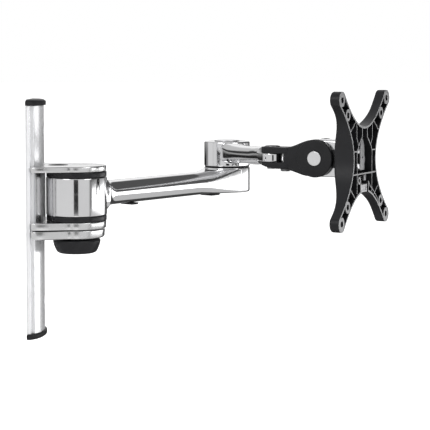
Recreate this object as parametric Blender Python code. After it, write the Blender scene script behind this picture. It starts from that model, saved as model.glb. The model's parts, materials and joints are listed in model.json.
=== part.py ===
"""Full motion wall mount for a flat screen: a wall channel, a clamped carriage with a shoulder drum,
two swinging arms, a clevis head that pans and tilts, and a VESA 75/100 face plate that rolls.

Frame: +X out from the wall, +Z up, +Y to the side. The origin is the centre of the channel's back face.
Lengths below are millimetres; MM turns them into metres.
"""

import math

import bmesh
import bpy
from mathutils import Matrix, Vector

MM = 0.001

# ---- driving dimensions (mm) ----
GAP = 0.3  # clearance kept between neighbouring pieces
CHANNEL_HALF = 25.0  # half width of the wall channel
CHANNEL_DEPTH = 12.0
CHANNEL_TOP, CHANNEL_BOTTOM = 93.5, -94.5
CAP_PROUD = 1.8  # how far the end caps stand out round the channel
CAP_HEIGHT = 5.0
WALL_HOLE_Z = 72.0  # wall screw holes at plus and minus this height
WALL_HOLE_R, DRIVER_HOLE_R = 2.8, 5.6

SHOULDER = (39.3, 0.0)  # shoulder axis, x and y
DRUM_R, DRUM_BORE_R = 25.4, 12.6
DRUM_Z = (2.4, 33.8)
TOP_PLATE_Z = (38.9, 43.7)
LOW_PLATE_Z = (-8.5, -2.7)
CLAMP_Z = (-16.5, -9.5)
AXLE_R = 8.0
STUD_R = 4.0
KNOB_Z = (-29.8, -18.0)
KNOB_R_TOP, KNOB_R_BOTTOM = 19.7, 14.9

ARM1_LENGTH, ARM1_ANGLE = 200.0, 50.6  # shoulder to elbow, degrees from +X
ARM1_WIDTH = 24.0
BLOCK_R = 21.3
LOW_BLOCK_Z = (8.8, 31.6)
HIGH_BLOCK_Z = (33.1, 55.8)
PIN_R = 6.0

PAN = (204.3, 37.2)  # pan axis at the end of the second arm
TONGUE_Z = (44.4, 51.5)
TONGUE_R, LUG_R = 7.0, 9.5
UPPER_LUG_Z, LOWER_LUG_Z = (51.8, 57.0), (38.6, 44.1)
PAN_PIN_R = 3.0

HEAD_ANGLE = -27.0  # which way the screen faces at rest
TILT_REACH = 45.0  # pan axis to tilt axis
TILT_Z = 48.7
CHEEK_R, CHEEK_IN, CHEEK_OUT = 16.0, 9.0, 14.0
TILT_AXLE_R = 4.0
KNUCKLE_R, KNUCKLE_HALF, KNUCKLE_TALL = 15.2, 8.4, 15.7
FACE_REACH = 40.1  # tilt axis to the front face of the plate

VESA_OUTER, VESA_INNER = 50.0, 37.5  # half of 100 and of 75
VESA_HOLE_R, BOSS_R, PAD_R = 2.5, 5.3, 7.0
PLATE_TIP, PLATE_MID, PLATE_FLOOR, PLATE_WALL = 8.8, 17.6, 2.0, 2.2
WAIST, NOTCH = 25.0, 27.0

for old in list(bpy.data.objects):
    bpy.data.objects.remove(old, do_unlink=True)

# ---- places ----
a1 = math.radians(ARM1_ANGLE)
ELBOW = (
    SHOULDER[0] + ARM1_LENGTH * math.cos(a1),
    SHOULDER[1] + ARM1_LENGTH * math.sin(a1),
)
a2 = math.atan2(PAN[1] - ELBOW[1], PAN[0] - ELBOW[0])
ARM2_LENGTH = math.hypot(PAN[0] - ELBOW[0], PAN[1] - ELBOW[1])
ah = math.radians(HEAD_ANGLE)
TILT = (PAN[0] + TILT_REACH * math.cos(ah), PAN[1] + TILT_REACH * math.sin(ah))
FACE = (TILT[0] + FACE_REACH * math.cos(ah), TILT[1] + FACE_REACH * math.sin(ah))


def frame(x, y, z, angle):
    """A place on the mount: local x along the angle, local z up."""
    return Matrix.Translation((x * MM, y * MM, z * MM)) @ Matrix.Rotation(angle, 4, "Z")


WORLD = Matrix.Identity(4)
AT_SHOULDER = frame(SHOULDER[0], SHOULDER[1], 0, 0)
ALONG_ARM1 = frame(SHOULDER[0], SHOULDER[1], 0, a1)
AT_ELBOW = frame(ELBOW[0], ELBOW[1], 0, a1)
ALONG_ARM2 = frame(ELBOW[0], ELBOW[1], 0, a2)
AT_PAN = frame(PAN[0], PAN[1], 0, ah)
AT_TILT = frame(TILT[0], TILT[1], TILT_Z, ah)
AT_FACE = frame(FACE[0], FACE[1], TILT_Z, ah)
# local z turned onto the head's sideways axis, and onto the axis that points at the viewer
SIDEWAYS = Matrix(((0, 1, 0, 0), (0, 0, 1, 0), (1, 0, 0, 0), (0, 0, 0, 1)))
OUTWARD = Matrix(((0, 0, 1, 0), (1, 0, 0, 0), (0, 1, 0, 0), (0, 0, 0, 1)))


def material(name, colour, rough, metal):
    m = bpy.data.materials.new(name)
    m.use_nodes = True
    b = m.node_tree.nodes["Principled BSDF"]
    b.inputs["Base Color"].default_value = (*colour, 1)
    b.inputs["Roughness"].default_value = rough
    b.inputs["Metallic"].default_value = metal
    return m


ANODISED = material("anodised_aluminium", (0.72, 0.73, 0.74), 0.32, 1.0)
POLISHED = material("polished_aluminium", (0.82, 0.82, 0.83), 0.12, 1.0)
STEEL = material("plated_steel", (0.6, 0.6, 0.6), 0.3, 1.0)
BLACK_PLASTIC = material("black_plastic", (0.02, 0.02, 0.022), 0.45, 0.0)
BLACK_PAINT = material("black_painted_casting", (0.018, 0.018, 0.02), 0.4, 0.0)
NYLON = material("dark_nylon", (0.05, 0.05, 0.055), 0.5, 0.0)
SPRING = material("spring_steel", (0.45, 0.45, 0.46), 0.35, 1.0)


def finish(bm, name, mat, place, origin, helper):
    bmesh.ops.recalc_face_normals(bm, faces=bm.faces)
    if sum(
        f.calc_center_median().dot(f.normal) * f.calc_area() for f in bm.faces
    ) < 0:
        bmesh.ops.reverse_faces(bm, faces=bm.faces)
    shift = Matrix.Translation((-origin[0] * MM, -origin[1] * MM, -origin[2] * MM))
    mesh = bpy.data.meshes.new(name)
    bm.to_mesh(mesh)
    bm.free()
    mesh.transform(shift @ place)
    mesh.shade_smooth()
    mesh.set_sharp_from_angle(angle=math.radians(35))
    obj = bpy.data.objects.new(name, mesh)
    obj.location = Vector(origin) * MM
    bpy.context.scene.collection.objects.link(obj)
    if helper:
        obj.hide_render = True
        obj.display_type = "WIRE"
    else:
        mesh.materials.append(mat)
    return obj


def loft(name, rings, mat=None, place=WORLD, origin=(0, 0, 0), helper=False):
    """Rings of the same number of (x, y, z) points, joined in turn and closed at both ends."""
    bm = bmesh.new()
    made = [[bm.verts.new([c * MM for c in p]) for p in ring] for ring in rings]
    n = len(made[0])
    for a, b in zip(made, made[1:]):
        for i in range(n):
            j = (i + 1) % n
            bm.faces.new((a[i], a[j], b[j], b[i]))
    bm.faces.new(list(reversed(made[0])))
    bm.faces.new(made[-1])
    return finish(bm, name, mat, place, origin, helper)


def prism(name, outline, z0, z1, mat=None, place=WORLD, origin=(0, 0, 0), helper=False, edge=0.0):
    """A flat outline of (x, y) carried from z0 to z1, with an optional small chamfer."""
    if edge:
        inside = offset(outline, -edge)
        rings = [
            [(x, y, z0) for x, y in inside],
            [(x, y, z0 + edge) for x, y in outline],
            [(x, y, z1 - edge) for x, y in outline],
            [(x, y, z1) for x, y in inside],
        ]
    else:
        rings = [[(x, y, z) for x, y in outline] for z in (z0, z1)]
    return loft(name, rings, mat, place, origin, helper)


def turned(name, profile, mat=None, place=WORLD, origin=(0, 0, 0), helper=False, n=32, hole=False):
    """A profile of (r, z) turned about local z. With hole, the profile is a closed loop off the axis."""
    bm = bmesh.new()
    rings = []
    for r, z in profile:
        if r == 0:
            rings.append([bm.verts.new((0, 0, z * MM))])
        else:
            rings.append(
                [
                    bm.verts.new(
                        (
                            r * MM * math.cos(2 * math.pi * k / n),
                            r * MM * math.sin(2 * math.pi * k / n),
                            z * MM,
                        )
                    )
                    for k in range(n)
                ]
            )
    pairs = list(zip(rings, rings[1:]))
    if hole:
        pairs.append((rings[-1], rings[0]))
    for a, b in pairs:
        for k in range(n):
            j = (k + 1) % n
            corners = [a[k % len(a)], a[j % len(a)], b[j % len(b)], b[k % len(b)]]
            if len(a) == 1:
                corners = [a[0], b[j], b[k]]
            elif len(b) == 1:
                corners = [a[k], a[j], b[0]]
            bm.faces.new(corners)
    if not hole:
        if len(rings[0]) > 1:
            bm.faces.new(list(reversed(rings[0])))
        if len(rings[-1]) > 1:
            bm.faces.new(rings[-1])
    return finish(bm, name, mat, place, origin, helper)


def rod(name, r, z0, z1, mat=None, place=WORLD, origin=(0, 0, 0), helper=False, n=24, edge=0.0):
    if edge:
        profile = [(r - edge, z0), (r, z0 + edge), (r, z1 - edge), (r - edge, z1)]
    else:
        profile = [(r, z0), (r, z1)]
    return turned(name, profile, mat, place, origin, helper, n)


def ring_of(name, r_in, r_out, z0, z1, mat=None, place=WORLD, origin=(0, 0, 0), n=28, edge=0.3):
    profile = [(r_in, z0), (r_out, z0), (r_out, z1 - edge), (r_out - edge, z1), (r_in, z1)]
    if not edge:
        profile[2:4] = [(r_out, z1)]
    return turned(name, profile, mat, place, origin, False, n, True)


def boolean(target, others, operation):
    for other in others:
        m = target.modifiers.new(operation.lower() + "_" + other.name, "BOOLEAN")
        m.operation = operation
        m.object = other
    return target


def offset(points, by):
    """A closed outline moved outward by a distance (inward when negative), point by point."""
    area = sum(
        a[0] * b[1] - b[0] * a[1] for a, b in zip(points, points[1:] + points[:1])
    )
    side = 1 if area > 0 else -1
    out = []
    n = len(points)
    for i in range(n):
        (x0, y0), (x1, y1), (x2, y2) = points[i - 1], points[i], points[(i + 1) % n]
        ax, ay = x1 - x0, y1 - y0
        bx, by_ = x2 - x1, y2 - y1
        la, lb = math.hypot(ax, ay), math.hypot(bx, by_)
        nx, ny = ay / la + by_ / lb, -ax / la - bx / lb
        ln = math.hypot(nx, ny)
        nx, ny = nx / ln, ny / ln
        cos_half = nx * ay / la - ny * ax / la
        k = side * by / max(cos_half, 0.5)
        out.append((x1 + nx * k, y1 + ny * k))
    return out


def arc(cx, cy, r, d0, d1, n):
    return [
        (
            cx + r * math.cos(math.radians(d0 + (d1 - d0) * k / n)),
            cy + r * math.sin(math.radians(d0 + (d1 - d0) * k / n)),
        )
        for k in range(n + 1)
    ]


def rounded(hy, z0, z1, r, x, n=2):
    """A ring of a rounded rectangle in the plane across an arm at distance x along it."""
    pts = []
    for cy, cz, d in (
        (hy - r, z1 - r, 0),
        (-hy + r, z1 - r, 90),
        (-hy + r, z0 + r, 180),
        (hy - r, z0 + r, 270),
    ):
        pts += arc(cy, cz, r, d, d + 90, n)
    return [(x, y, z) for y, z in pts]


def ellipse_x(half, depth, y):
    return depth * math.sqrt(max(0.0, 1 - (y / half) ** 2))


# ================= wall side =================
def channel_outline(n=9):
    """Back face on x = 0, a half-ellipse front, and a groove down each side for the carriage hooks."""
    right = [(0.0, -CHANNEL_HALF), (1.6, -24.78), (3.4, -23.97), (3.4, -20.5), (6.2, -20.5), (6.2, -21.4)]
    front = []
    for k in range(-n, n + 1):
        y = 20.6 * math.sin(math.pi / 2 * k / n)
        front.append((ellipse_x(CHANNEL_HALF, CHANNEL_DEPTH, y), y))
    left = [(x, -y) for x, y in reversed(right)]
    return right + front + left


def channel_hollow(half, back, scale_half, depth, n=8):
    pts = [(back, -half)]
    for k in range(-n, n + 1):
        y = half * math.sin(math.pi / 2 * k / n)
        pts.append((ellipse_x(scale_half, depth, y), y))
    return pts + [(back, half)]


channel = prism("wall_channel", channel_outline(), CHANNEL_BOTTOM, CHANNEL_TOP, ANODISED)
hollow = prism("cut_channel_hollow", channel_hollow(18.3, 2.2, 23.0, 9.8), CHANNEL_BOTTOM - 3, CHANNEL_TOP + 3, helper=True)
cuts = [hollow]
for side, z in (("top", WALL_HOLE_Z), ("bottom", -WALL_HOLE_Z)):
    at = Matrix.Translation((0, 0, z * MM)) @ OUTWARD
    cuts.append(rod("cut_wall_hole_" + side, WALL_HOLE_R, -3, 4, place=at, helper=True, n=20))
    cuts.append(rod("cut_driver_hole_" + side, DRIVER_HOLE_R, 6, 20, place=at, helper=True, n=24))
boolean(channel, cuts, "DIFFERENCE")


def end_cap(name, end, up):
    """A domed cap with a plug that fits the channel's hollow. up is 1 at the top and -1 at the bottom."""
    plug = channel_hollow(17.9, 2.6, 22.6, 9.4)
    half, depth = CHANNEL_HALF + CAP_PROUD, CHANNEL_DEPTH + CAP_PROUD
    full = channel_hollow(half * 0.998, 0.0, half, depth)
    small = channel_hollow(half - 1.4, 0.5, half - 1.2, depth - 1.4)
    top = channel_hollow(half - 4.2, 1.5, half - 4.0, depth - 4.0)
    z = [end - up * 8, end + up * GAP, end + up * GAP, end + up * 3.3, end + up * 4.8, end + up * 5.3]
    shapes = [plug, plug, full, full, small, top]
    return loft(name, [[(x, y, h) for x, y in s] for s, h in zip(shapes, z)], BLACK_PLASTIC)


end_cap("channel_cap_top", CHANNEL_TOP, 1)
end_cap("channel_cap_bottom", CHANNEL_BOTTOM, -1)


# ================= carriage =================
def hug(half, depth, y0, y1, n):
    return [(ellipse_x(half, depth, y), y) for y in (y0 + (y1 - y0) * k / n for k in range(n + 1))]


def plate_outline(nose_r):
    """A clamp plate: round nose over the drum, straight flanks, and two hooks into the channel's grooves."""
    nose = arc(SHOULDER[0], 0, nose_r, -98, 98, 18)
    left = [(20.0, 28.6), (8.5, 29.0), (5.6, 28.6), (4.2, 27.4), (3.8, 26.0), (3.8, 21.3), (5.8, 21.3)]
    cut = hug(25.4, 12.4, 22.45, -22.45, 12)
    right = [(x, -y) for x, y in reversed(left)]
    return nose + left + cut + right


bracket = prism("carriage_bracket", plate_outline(24.8), *TOP_PLATE_Z, POLISHED, edge=0.7)
low = prism("join_low_plate", plate_outline(24.8), *LOW_PLATE_Z, helper=True, edge=0.5)
posts = []
for side in (1, -1):
    inner = hug(25.4, 12.4, 21.6, 17.0, 4)
    outer = hug(27.6, 14.6, 17.4, 23.4, 4)
    outline = [(x, side * y) for x, y in inner + outer]
    posts.append(prism("join_post_" + ("left" if side > 0 else "right"), outline, LOW_PLATE_Z[0] + 1.5, TOP_PLATE_Z[1] - 1.5, helper=True))
boolean(bracket, [low] + posts, "UNION")
boolean(
    bracket,
    [
        rod("cut_top_bearing", 6.3, 37, 41.3, place=AT_SHOULDER, helper=True),
        rod("cut_low_bearing", 8.3, -5.5, 0, place=AT_SHOULDER, helper=True),
        rod("cut_stud_hole", STUD_R + 0.4, -12, 0, place=AT_SHOULDER, helper=True),
        rod("cut_plug_seat", 8.6, 42.0, 46, place=frame(24.0, 0, 0, 0), helper=True),
    ],
    "DIFFERENCE",
)
turned("bracket_plug", [(7.6, 42.3), (8.2, 42.7), (8.2, 43.6), (7.4, 44.1), (4.5, 44.1), (4.2, 43.4), (0, 43.4)], BLACK_PLASTIC, frame(24.0, 0, 0, 0), n=32)
# the axle is a solid bar with a blind threaded bore from below
axle = turned("shoulder_axle", [(AXLE_R - 0.4, -5.2), (AXLE_R, -4.8), (AXLE_R, 38.5), (6.0, 38.5), (6.0, 40.6), (5.6, 41.0)], STEEL, AT_SHOULDER, n=32)
boolean(axle, [rod("cut_axle_thread", STUD_R + 0.4, -8, 17, place=AT_SHOULDER, helper=True)], "DIFFERENCE")

# ---- clamp plate, knob and stud ----
clamp = prism("clamp_plate", plate_outline(23.6), *CLAMP_Z, POLISHED, origin=(*SHOULDER, CLAMP_Z[0]), edge=0.8)
boolean(clamp, [rod("cut_clamp_hole", STUD_R + 0.4, -20, -5, place=AT_SHOULDER, helper=True)], "DIFFERENCE")
ring_of("knob_washer", STUD_R + 0.4, 9.0, -17.7, -16.8, STEEL, AT_SHOULDER, n=24, edge=0.0)


def knob():
    """A soft-edged clamp knob with eight shallow finger scallops."""
    rings = []
    n = 32
    for z, r, scallop in (
        (KNOB_Z[1], KNOB_R_TOP - 1.2, 0.0),
        (KNOB_Z[1] - 0.8, KNOB_R_TOP, 0.25),
        (KNOB_Z[1] - 3.0, KNOB_R_TOP + 0.1, 0.5),
        (-23.0, 18.9, 0.6),
        (-26.0, 18.0, 0.6),
        (-28.4, 17.0, 0.4),
        (KNOB_Z[0], 15.0, 0.2),
    ):
        ring = []
        for k in range(n):
            t = 2 * math.pi * k / n
            rr = r - scallop * (0.5 - 0.5 * math.cos(8 * t))
            ring.append((rr * math.cos(t), rr * math.sin(t), z))
        rings.append(ring)
    body = loft("clamp_knob", rings, BLACK_PLASTIC, AT_SHOULDER, origin=(*SHOULDER, KNOB_Z[0]))
    return boolean(body, [rod("cut_knob_bore", STUD_R + 0.35, -26.6, -10, place=AT_SHOULDER, helper=True)], "DIFFERENCE")


knob()
rod("knob_stud", STUD_R, -26.2, 15.5, STEEL, AT_SHOULDER, origin=(*SHOULDER, 0), n=24, edge=0.5)

# ================= first arm =================
S0 = (*SHOULDER, 0.0)
arm1 = turned(
    "lower_arm",
    [
        (DRUM_BORE_R, DRUM_Z[0]),
        (DRUM_R - 0.8, DRUM_Z[0]),
        (DRUM_R, DRUM_Z[0] + 0.8),
        (DRUM_R, DRUM_Z[1] - 0.8),
        (DRUM_R - 0.8, DRUM_Z[1]),
        (DRUM_BORE_R, DRUM_Z[1]),
    ],
    POLISHED,
    AT_SHOULDER,
    origin=S0,
    n=40,
    hole=True,
)
hw = ARM1_WIDTH / 2
beam = loft(
    "join_arm1_beam",
    [
        rounded(14.5, 4.6, 31.6, 5.0, 17.5),
        rounded(14.5, 4.8, 31.4, 5.0, 25.5),
        rounded(12.8, 6.8, 29.4, 4.2, 29.5),
        rounded(hw, 8.0, 28.3, 3.2, 34.5),
        rounded(hw, 8.3, 28.6, 3.0, 100.0),
        rounded(hw, 8.9, 29.1, 3.0, 150.0),
        rounded(12.9, 9.0, 29.3, 3.0, 162.0),
        rounded(15.0, 9.0, 29.9, 3.0, 172.0),
        rounded(17.8, 9.1, 30.7, 2.6, 182.0),
        rounded(20.2, 9.2, 31.2, 2.0, 192.0),
    ],
    place=ALONG_ARM1,
    helper=True,
)
block1 = turned(
    "join_low_block",
    [(BLOCK_R - 1.4, LOW_BLOCK_Z[0]), (BLOCK_R, LOW_BLOCK_Z[0] + 1.4), (BLOCK_R, LOW_BLOCK_Z[1] - 1.0), (BLOCK_R - 1.0, LOW_BLOCK_Z[1])],
    place=AT_ELBOW,
    helper=True,
    n=36,
)
boolean(arm1, [beam, block1], "UNION")
boolean(
    arm1,
    [
        rod("cut_elbow_bore_low", PIN_R + 2.6, 5, 40, place=AT_ELBOW, helper=True),
        rod("cut_elbow_head", 10.4, 0, 13.6, place=AT_ELBOW, helper=True),
        rod("cut_drum_clear", DRUM_BORE_R, 0, 40, place=AT_SHOULDER, helper=True, n=40),
    ],
    "DIFFERENCE",
)


def shoulder_bush(name, z0, z1, spigot, recess):
    """A flanged plastic bearing: the flange is the dark ring above or below the drum."""
    inner, hub = AXLE_R + GAP, DRUM_BORE_R - GAP
    lo, hi = min(z0, z1), max(z0, z1)
    e = 0.5
    flange = DRUM_R - 0.3
    if spigot < lo:
        profile = [(inner, spigot), (hub, spigot), (hub, lo), (flange - e, lo), (flange, lo + e), (flange, hi - e), (flange - e, hi), (inner, hi)]
    else:
        profile = [(inner, lo), (flange - e, lo), (flange, lo + e), (flange, hi - e), (flange - e, hi), (hub, hi), (hub, spigot), (inner, spigot)]
    return turned(name, profile, NYLON, AT_SHOULDER, S0, n=40, hole=True)


shoulder_bush("shoulder_bush_top", 34.1, 38.6, 24.0, 0)
shoulder_bush("shoulder_bush_bottom", -2.4, 2.1, 12.0, 0)

for k, (s, w, l) in enumerate(((65.0, 7.0, 7.0), (175.0, 7.0, 7.5))):
    z1 = 8.0 if k == 0 else 8.5
    clip = loft(
        "cable_clip_%d" % (k + 1),
        [rounded(w, z1 - 2.4, z1 - 0.3, 0.9, s - l), rounded(w, z1 - 2.4, z1 - 0.3, 0.9, s + l)],
        BLACK_PLASTIC,
        ALONG_ARM1,
        S0,
    )

# ================= elbow =================
E0 = (*ELBOW, 0.0)
ring_of("elbow_washer", PIN_R + 0.4, 20.8, 31.9, 32.8, NYLON, AT_ELBOW, E0, n=32, edge=0.0)
ring_of("elbow_bush_low", PIN_R + GAP, PIN_R + 2.3, 14.2, 31.4, NYLON, AT_ELBOW, E0, n=20, edge=0.0)
ring_of("elbow_bush_high", PIN_R + GAP, PIN_R + 2.3, 33.4, 46.5, NYLON, AT_ELBOW, E0, n=20, edge=0.0)
turned("elbow_pin", [(9.4, 9.6), (10.0, 10.2), (10.0, 13.2), (PIN_R, 13.2), (PIN_R, 53.2), (PIN_R - 0.5, 53.7)], STEEL, AT_ELBOW, E0, n=24)
nut = turned("elbow_nut", [(PIN_R + 0.3, 48.3), (8.7, 48.3), (8.7, 53.0), (PIN_R + 0.3, 53.0)], STEEL, AT_ELBOW, E0, n=24, hole=True)
turned("elbow_cap", [(9.0, 54.6), (9.0, 56.1), (11.6, 56.1), (11.9, 56.4), (11.2, 57.0), (6.0, 57.3), (0, 57.4)], POLISHED, AT_ELBOW, E0, n=28)

# ================= second arm =================
arm2 = turned(
    "upper_arm",
    [(BLOCK_R - 1.0, HIGH_BLOCK_Z[0]), (BLOCK_R, HIGH_BLOCK_Z[0] + 1.0), (BLOCK_R, HIGH_BLOCK_Z[1] - 1.2), (BLOCK_R - 1.2, HIGH_BLOCK_Z[1])],
    POLISHED,
    AT_ELBOW,
    E0,
    n=36,
)
L2 = ARM2_LENGTH
beam2 = loft(
    "join_arm2_beam",
    [
        rounded(12.6, 34.6, 54.8, 4.0, 8.0),
        rounded(12.2, 35.6, 54.6, 5.0, 18.0),
        rounded(11.3, 36.8, 54.2, 5.0, 32.0),
        rounded(10.4, 38.0, 54.0, 5.0, 50.0),
        rounded(9.8, 39.6, 55.2, 5.0, 85.0),
        rounded(9.6, 40.4, 56.0, 4.5, L2 - 18.0),
        rounded(9.3, 41.2, 55.2, 4.0, L2 - 14.0),
        rounded(8.4, TONGUE_Z[0], TONGUE_Z[1], 1.2, L2 - 10.4),
        rounded(TONGUE_R, TONGUE_Z[0], TONGUE_Z[1], 1.0, L2),
    ],
    place=ALONG_ARM2,
    helper=True,
)
tongue = rod("join_tongue_end", TONGUE_R, *TONGUE_Z, place=AT_PAN, helper=True, n=36)
boolean(arm2, [beam2, tongue], "UNION")
boolean(
    arm2,
    [
        rod("cut_elbow_bore_high", PIN_R + 2.6, 30, 47, place=AT_ELBOW, helper=True),
        rod("cut_elbow_bore_mid", PIN_R + 0.4, 40, 60, place=AT_ELBOW, helper=True),
        rod("cut_elbow_nut", 9.3, 48.0, 60, place=AT_ELBOW, helper=True),
        rod("cut_pan_bore", PAN_PIN_R + 1.6, 40, 60, place=AT_PAN, helper=True, n=24),
    ],
    "DIFFERENCE",
)
ring_of("pan_bush", PAN_PIN_R + GAP, PAN_PIN_R + 1.3, TONGUE_Z[0] + 0.1, TONGUE_Z[1] - 0.1, NYLON, AT_PAN, (*PAN, 0), n=16, edge=0.0)

# ================= head: clevis, pan pin, tilt =================
P0 = (*PAN, 0.0)
V = -TILT_REACH


def lug_outline():
    return arc(V, 0, LUG_R, 90, 270, 12) + [(-31.0, -10.0), (-28.0, -11.0), (-28.0, 11.0), (-31.0, 10.0)]


yoke = loft(
    "head_yoke",
    [
        rounded(10.0, -10.1, 8.3, 2.5, -32.0),
        rounded(10.6, -10.4, 8.6, 3.0, -28.0),
        rounded(12.0, -11.0, 9.4, 3.0, -23.0),
        rounded(13.6, -12.6, 11.4, 3.0, -17.0),
        rounded(14.0, -14.2, 13.6, 3.0, -11.0),
        rounded(14.0, -15.0, 14.8, 3.0, -6.0),
    ],
    BLACK_PAINT,
    AT_TILT,
    P0,
)
cheeks = [
    turned(
        "join_cheek_" + name,
        [(CHEEK_R - (0.8 if s0 < 0 else 0), s0), (CHEEK_R, s0 + 0.8), (CHEEK_R, s1 - 0.8), (CHEEK_R - (0 if s0 < 0 else 0.8), s1)],
        place=AT_TILT @ SIDEWAYS,
        helper=True,
        n=36,
    )
    for name, s0, s1 in (("near", -CHEEK_OUT - 0.2, -CHEEK_IN + 0.3), ("far", CHEEK_IN - 0.3, CHEEK_OUT + 0.2))
]
lugs = [
    prism("join_lug_upper", lug_outline(), UPPER_LUG_Z[0] - TILT_Z, UPPER_LUG_Z[1] - TILT_Z, place=AT_TILT, helper=True, edge=0.6),
    prism("join_lug_lower", lug_outline(), LOWER_LUG_Z[0] - TILT_Z, LOWER_LUG_Z[1] - TILT_Z, place=AT_TILT, helper=True, edge=0.6),
]
boolean(yoke, cheeks + lugs, "UNION")
boolean(
    yoke,
    [
        rod("cut_knuckle_room", CHEEK_R + 0.9, -CHEEK_IN + 0.2, CHEEK_IN - 0.2, place=AT_TILT @ SIDEWAYS, helper=True, n=32),
        rod("cut_tilt_axle_hole", TILT_AXLE_R + 0.3, -20, 20, place=AT_TILT @ SIDEWAYS, helper=True, n=28),
        rod("cut_tilt_cap_seat_near", 6.4, -20, -11.4, place=AT_TILT @ SIDEWAYS, helper=True, n=32),
        rod("cut_tilt_cap_seat_far", 6.4, 11.4, 20, place=AT_TILT @ SIDEWAYS, helper=True, n=32),
        rod("cut_pan_hole", PAN_PIN_R + 0.3, 30, 70, place=AT_PAN, helper=True, n=24),
        rod("cut_stop_screw_hole", 2.3, 34, 46, place=frame(PAN[0] + 12.4 * math.cos(ah), PAN[1] + 12.4 * math.sin(ah), 0, ah), helper=True, n=20),
    ],
    "DIFFERENCE",
)
turned("pan_pin", [(PAN_PIN_R - 0.4, 37.2), (PAN_PIN_R, 37.6), (PAN_PIN_R, 57.3), (6.6, 57.3), (6.9, 57.6), (6.4, 58.5), (4.6, 59.0), (2.6, 59.1), (2.4, 58.2), (0, 58.2)], STEEL, AT_PAN, P0, n=20)
ring_of("pan_nut", PAN_PIN_R + 0.3, 5.6, 36.0, 38.3, STEEL, AT_PAN, P0, n=24, edge=0.3)
at_stop = frame(PAN[0] + 12.4 * math.cos(ah), PAN[1] + 12.4 * math.sin(ah), 0, ah)
turned("pan_stop_screw", [(3.6, 36.2), (4.2, 36.8), (4.2, 38.3), (2.0, 38.3), (2.0, 43.6)], STEEL, at_stop, P0, n=24)

T0 = (*TILT, TILT_Z)
rod("tilt_axle", TILT_AXLE_R, -11.0, 11.0, STEEL, AT_TILT @ SIDEWAYS, P0, n=28, edge=0.4)
for name, s in (("near", -1), ("far", 1)):
    turned(
        "tilt_cap_" + name,
        [(5.6, 11.7 * s), (6.1, 12.1 * s), (6.1, 14.2 * s), (5.7, 14.6 * s), (0, 14.6 * s)],
        POLISHED,
        AT_TILT @ SIDEWAYS,
        P0,
        n=36,
    )
knuckle = rod("tilt_knuckle", KNUCKLE_R, -KNUCKLE_HALF, KNUCKLE_HALF, POLISHED, AT_TILT @ SIDEWAYS, T0, n=36, edge=0.7)
shank = loft(
    "join_knuckle_shank",
    [
        rounded(8.2, -KNUCKLE_TALL, KNUCKLE_TALL, 1.0, -0.1),
        rounded(8.2, -KNUCKLE_TALL, KNUCKLE_TALL, 1.0, 17.4),
    ],
    place=AT_TILT,
    helper=True,
)
spigot = rod("join_roll_spigot", 6.0, 10.0, FACE_REACH - 6.2, place=AT_TILT @ OUTWARD, helper=True, n=32)
boolean(knuckle, [shank, spigot], "UNION")
boolean(
    knuckle,
    [
        rod("cut_knuckle_bore", TILT_AXLE_R + 2.2, -20, 20, place=AT_TILT @ SIDEWAYS, helper=True, n=32),
        rod("cut_spigot_thread", 2.4, 22.0, 60.0, place=AT_TILT @ OUTWARD, helper=True, n=20),
    ],
    "DIFFERENCE",
)
ring_of("tilt_bush", TILT_AXLE_R + 0.3, TILT_AXLE_R + 1.9, -8.2, 8.2, NYLON, AT_TILT @ SIDEWAYS, T0, n=20, edge=0.0)

# ================= face plate =================
def plate_outline_x(k=8):
    """One quarter of the X: waist, pad round the corner hole, then down into the notch; mirrored to all four."""
    quarter = []
    for i in range(k):
        v = 45.0 * i / (k - 1)
        quarter.append((WAIST + 30.5 * (v / 45.7) ** 1.918, v))
    quarter += arc(VESA_OUTER, VESA_OUTER, PAD_R, -38, 140, 10)
    for i in range(k):
        u = 44.0 * (1 - i / (k - 1))
        quarter.append((u, NOTCH + 27.5 * (u / 44.64) ** 1.93))
    pts = []
    pts += quarter
    pts += [(-u, v) for u, v in reversed(quarter)][1:]
    pts += [(-u, -v) for u, v in quarter][1:]
    pts += [(u, -v) for u, v in reversed(quarter)][1:-1]
    return pts


def clean(points, least=0.05):
    out = []
    for p in points:
        if not out or math.dist(p, out[-1]) > least:
            out.append(p)
    if math.dist(out[0], out[-1]) <= least:
        out.pop()
    return out


X_OUT = clean(plate_outline_x())
FACE_ON = AT_FACE @ OUTWARD  # local x is sideways, local y is up, local z is out of the face


def side_profile(name, tip, mid, top):
    """The plate's thickness seen from the side, carried across its whole width."""
    back = []
    for v in (58.5, 41.0, 36.0, 31.0, 26.0, 21.0, 16.0, 11.0, 5.0):
        t = min(max((v - 5.0) / 36.0, 0.0), 1.0)
        back.append((v, -(mid - (mid - tip) * t * t * (3 - 2 * t))))
    back += [(-v, w) for v, w in reversed(back)]
    prof = [(58.5, top)] + back + [(-58.5, top)]
    rings = [[(u, v, w) for v, w in prof] for u in (-60.0, 60.0)]
    return loft(name, rings, place=FACE_ON, helper=True)


plate = prism("vesa_plate", X_OUT, -PLATE_MID - 2, 0, BLACK_PAINT, FACE_ON, (*FACE, TILT_Z))
boolean(plate, [side_profile("shape_plate_back", PLATE_TIP, PLATE_MID, 5)], "INTERSECT")
pocket = prism("cut_plate_pocket", offset(X_OUT, -PLATE_WALL), -PLATE_MID, 4, place=FACE_ON, helper=True)
boolean(pocket, [side_profile("shape_pocket_floor", PLATE_TIP - PLATE_FLOOR, PLATE_MID - PLATE_FLOOR, 6)], "INTERSECT")
boolean(plate, [pocket], "DIFFERENCE")

RIB_TOP = -0.4


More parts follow.
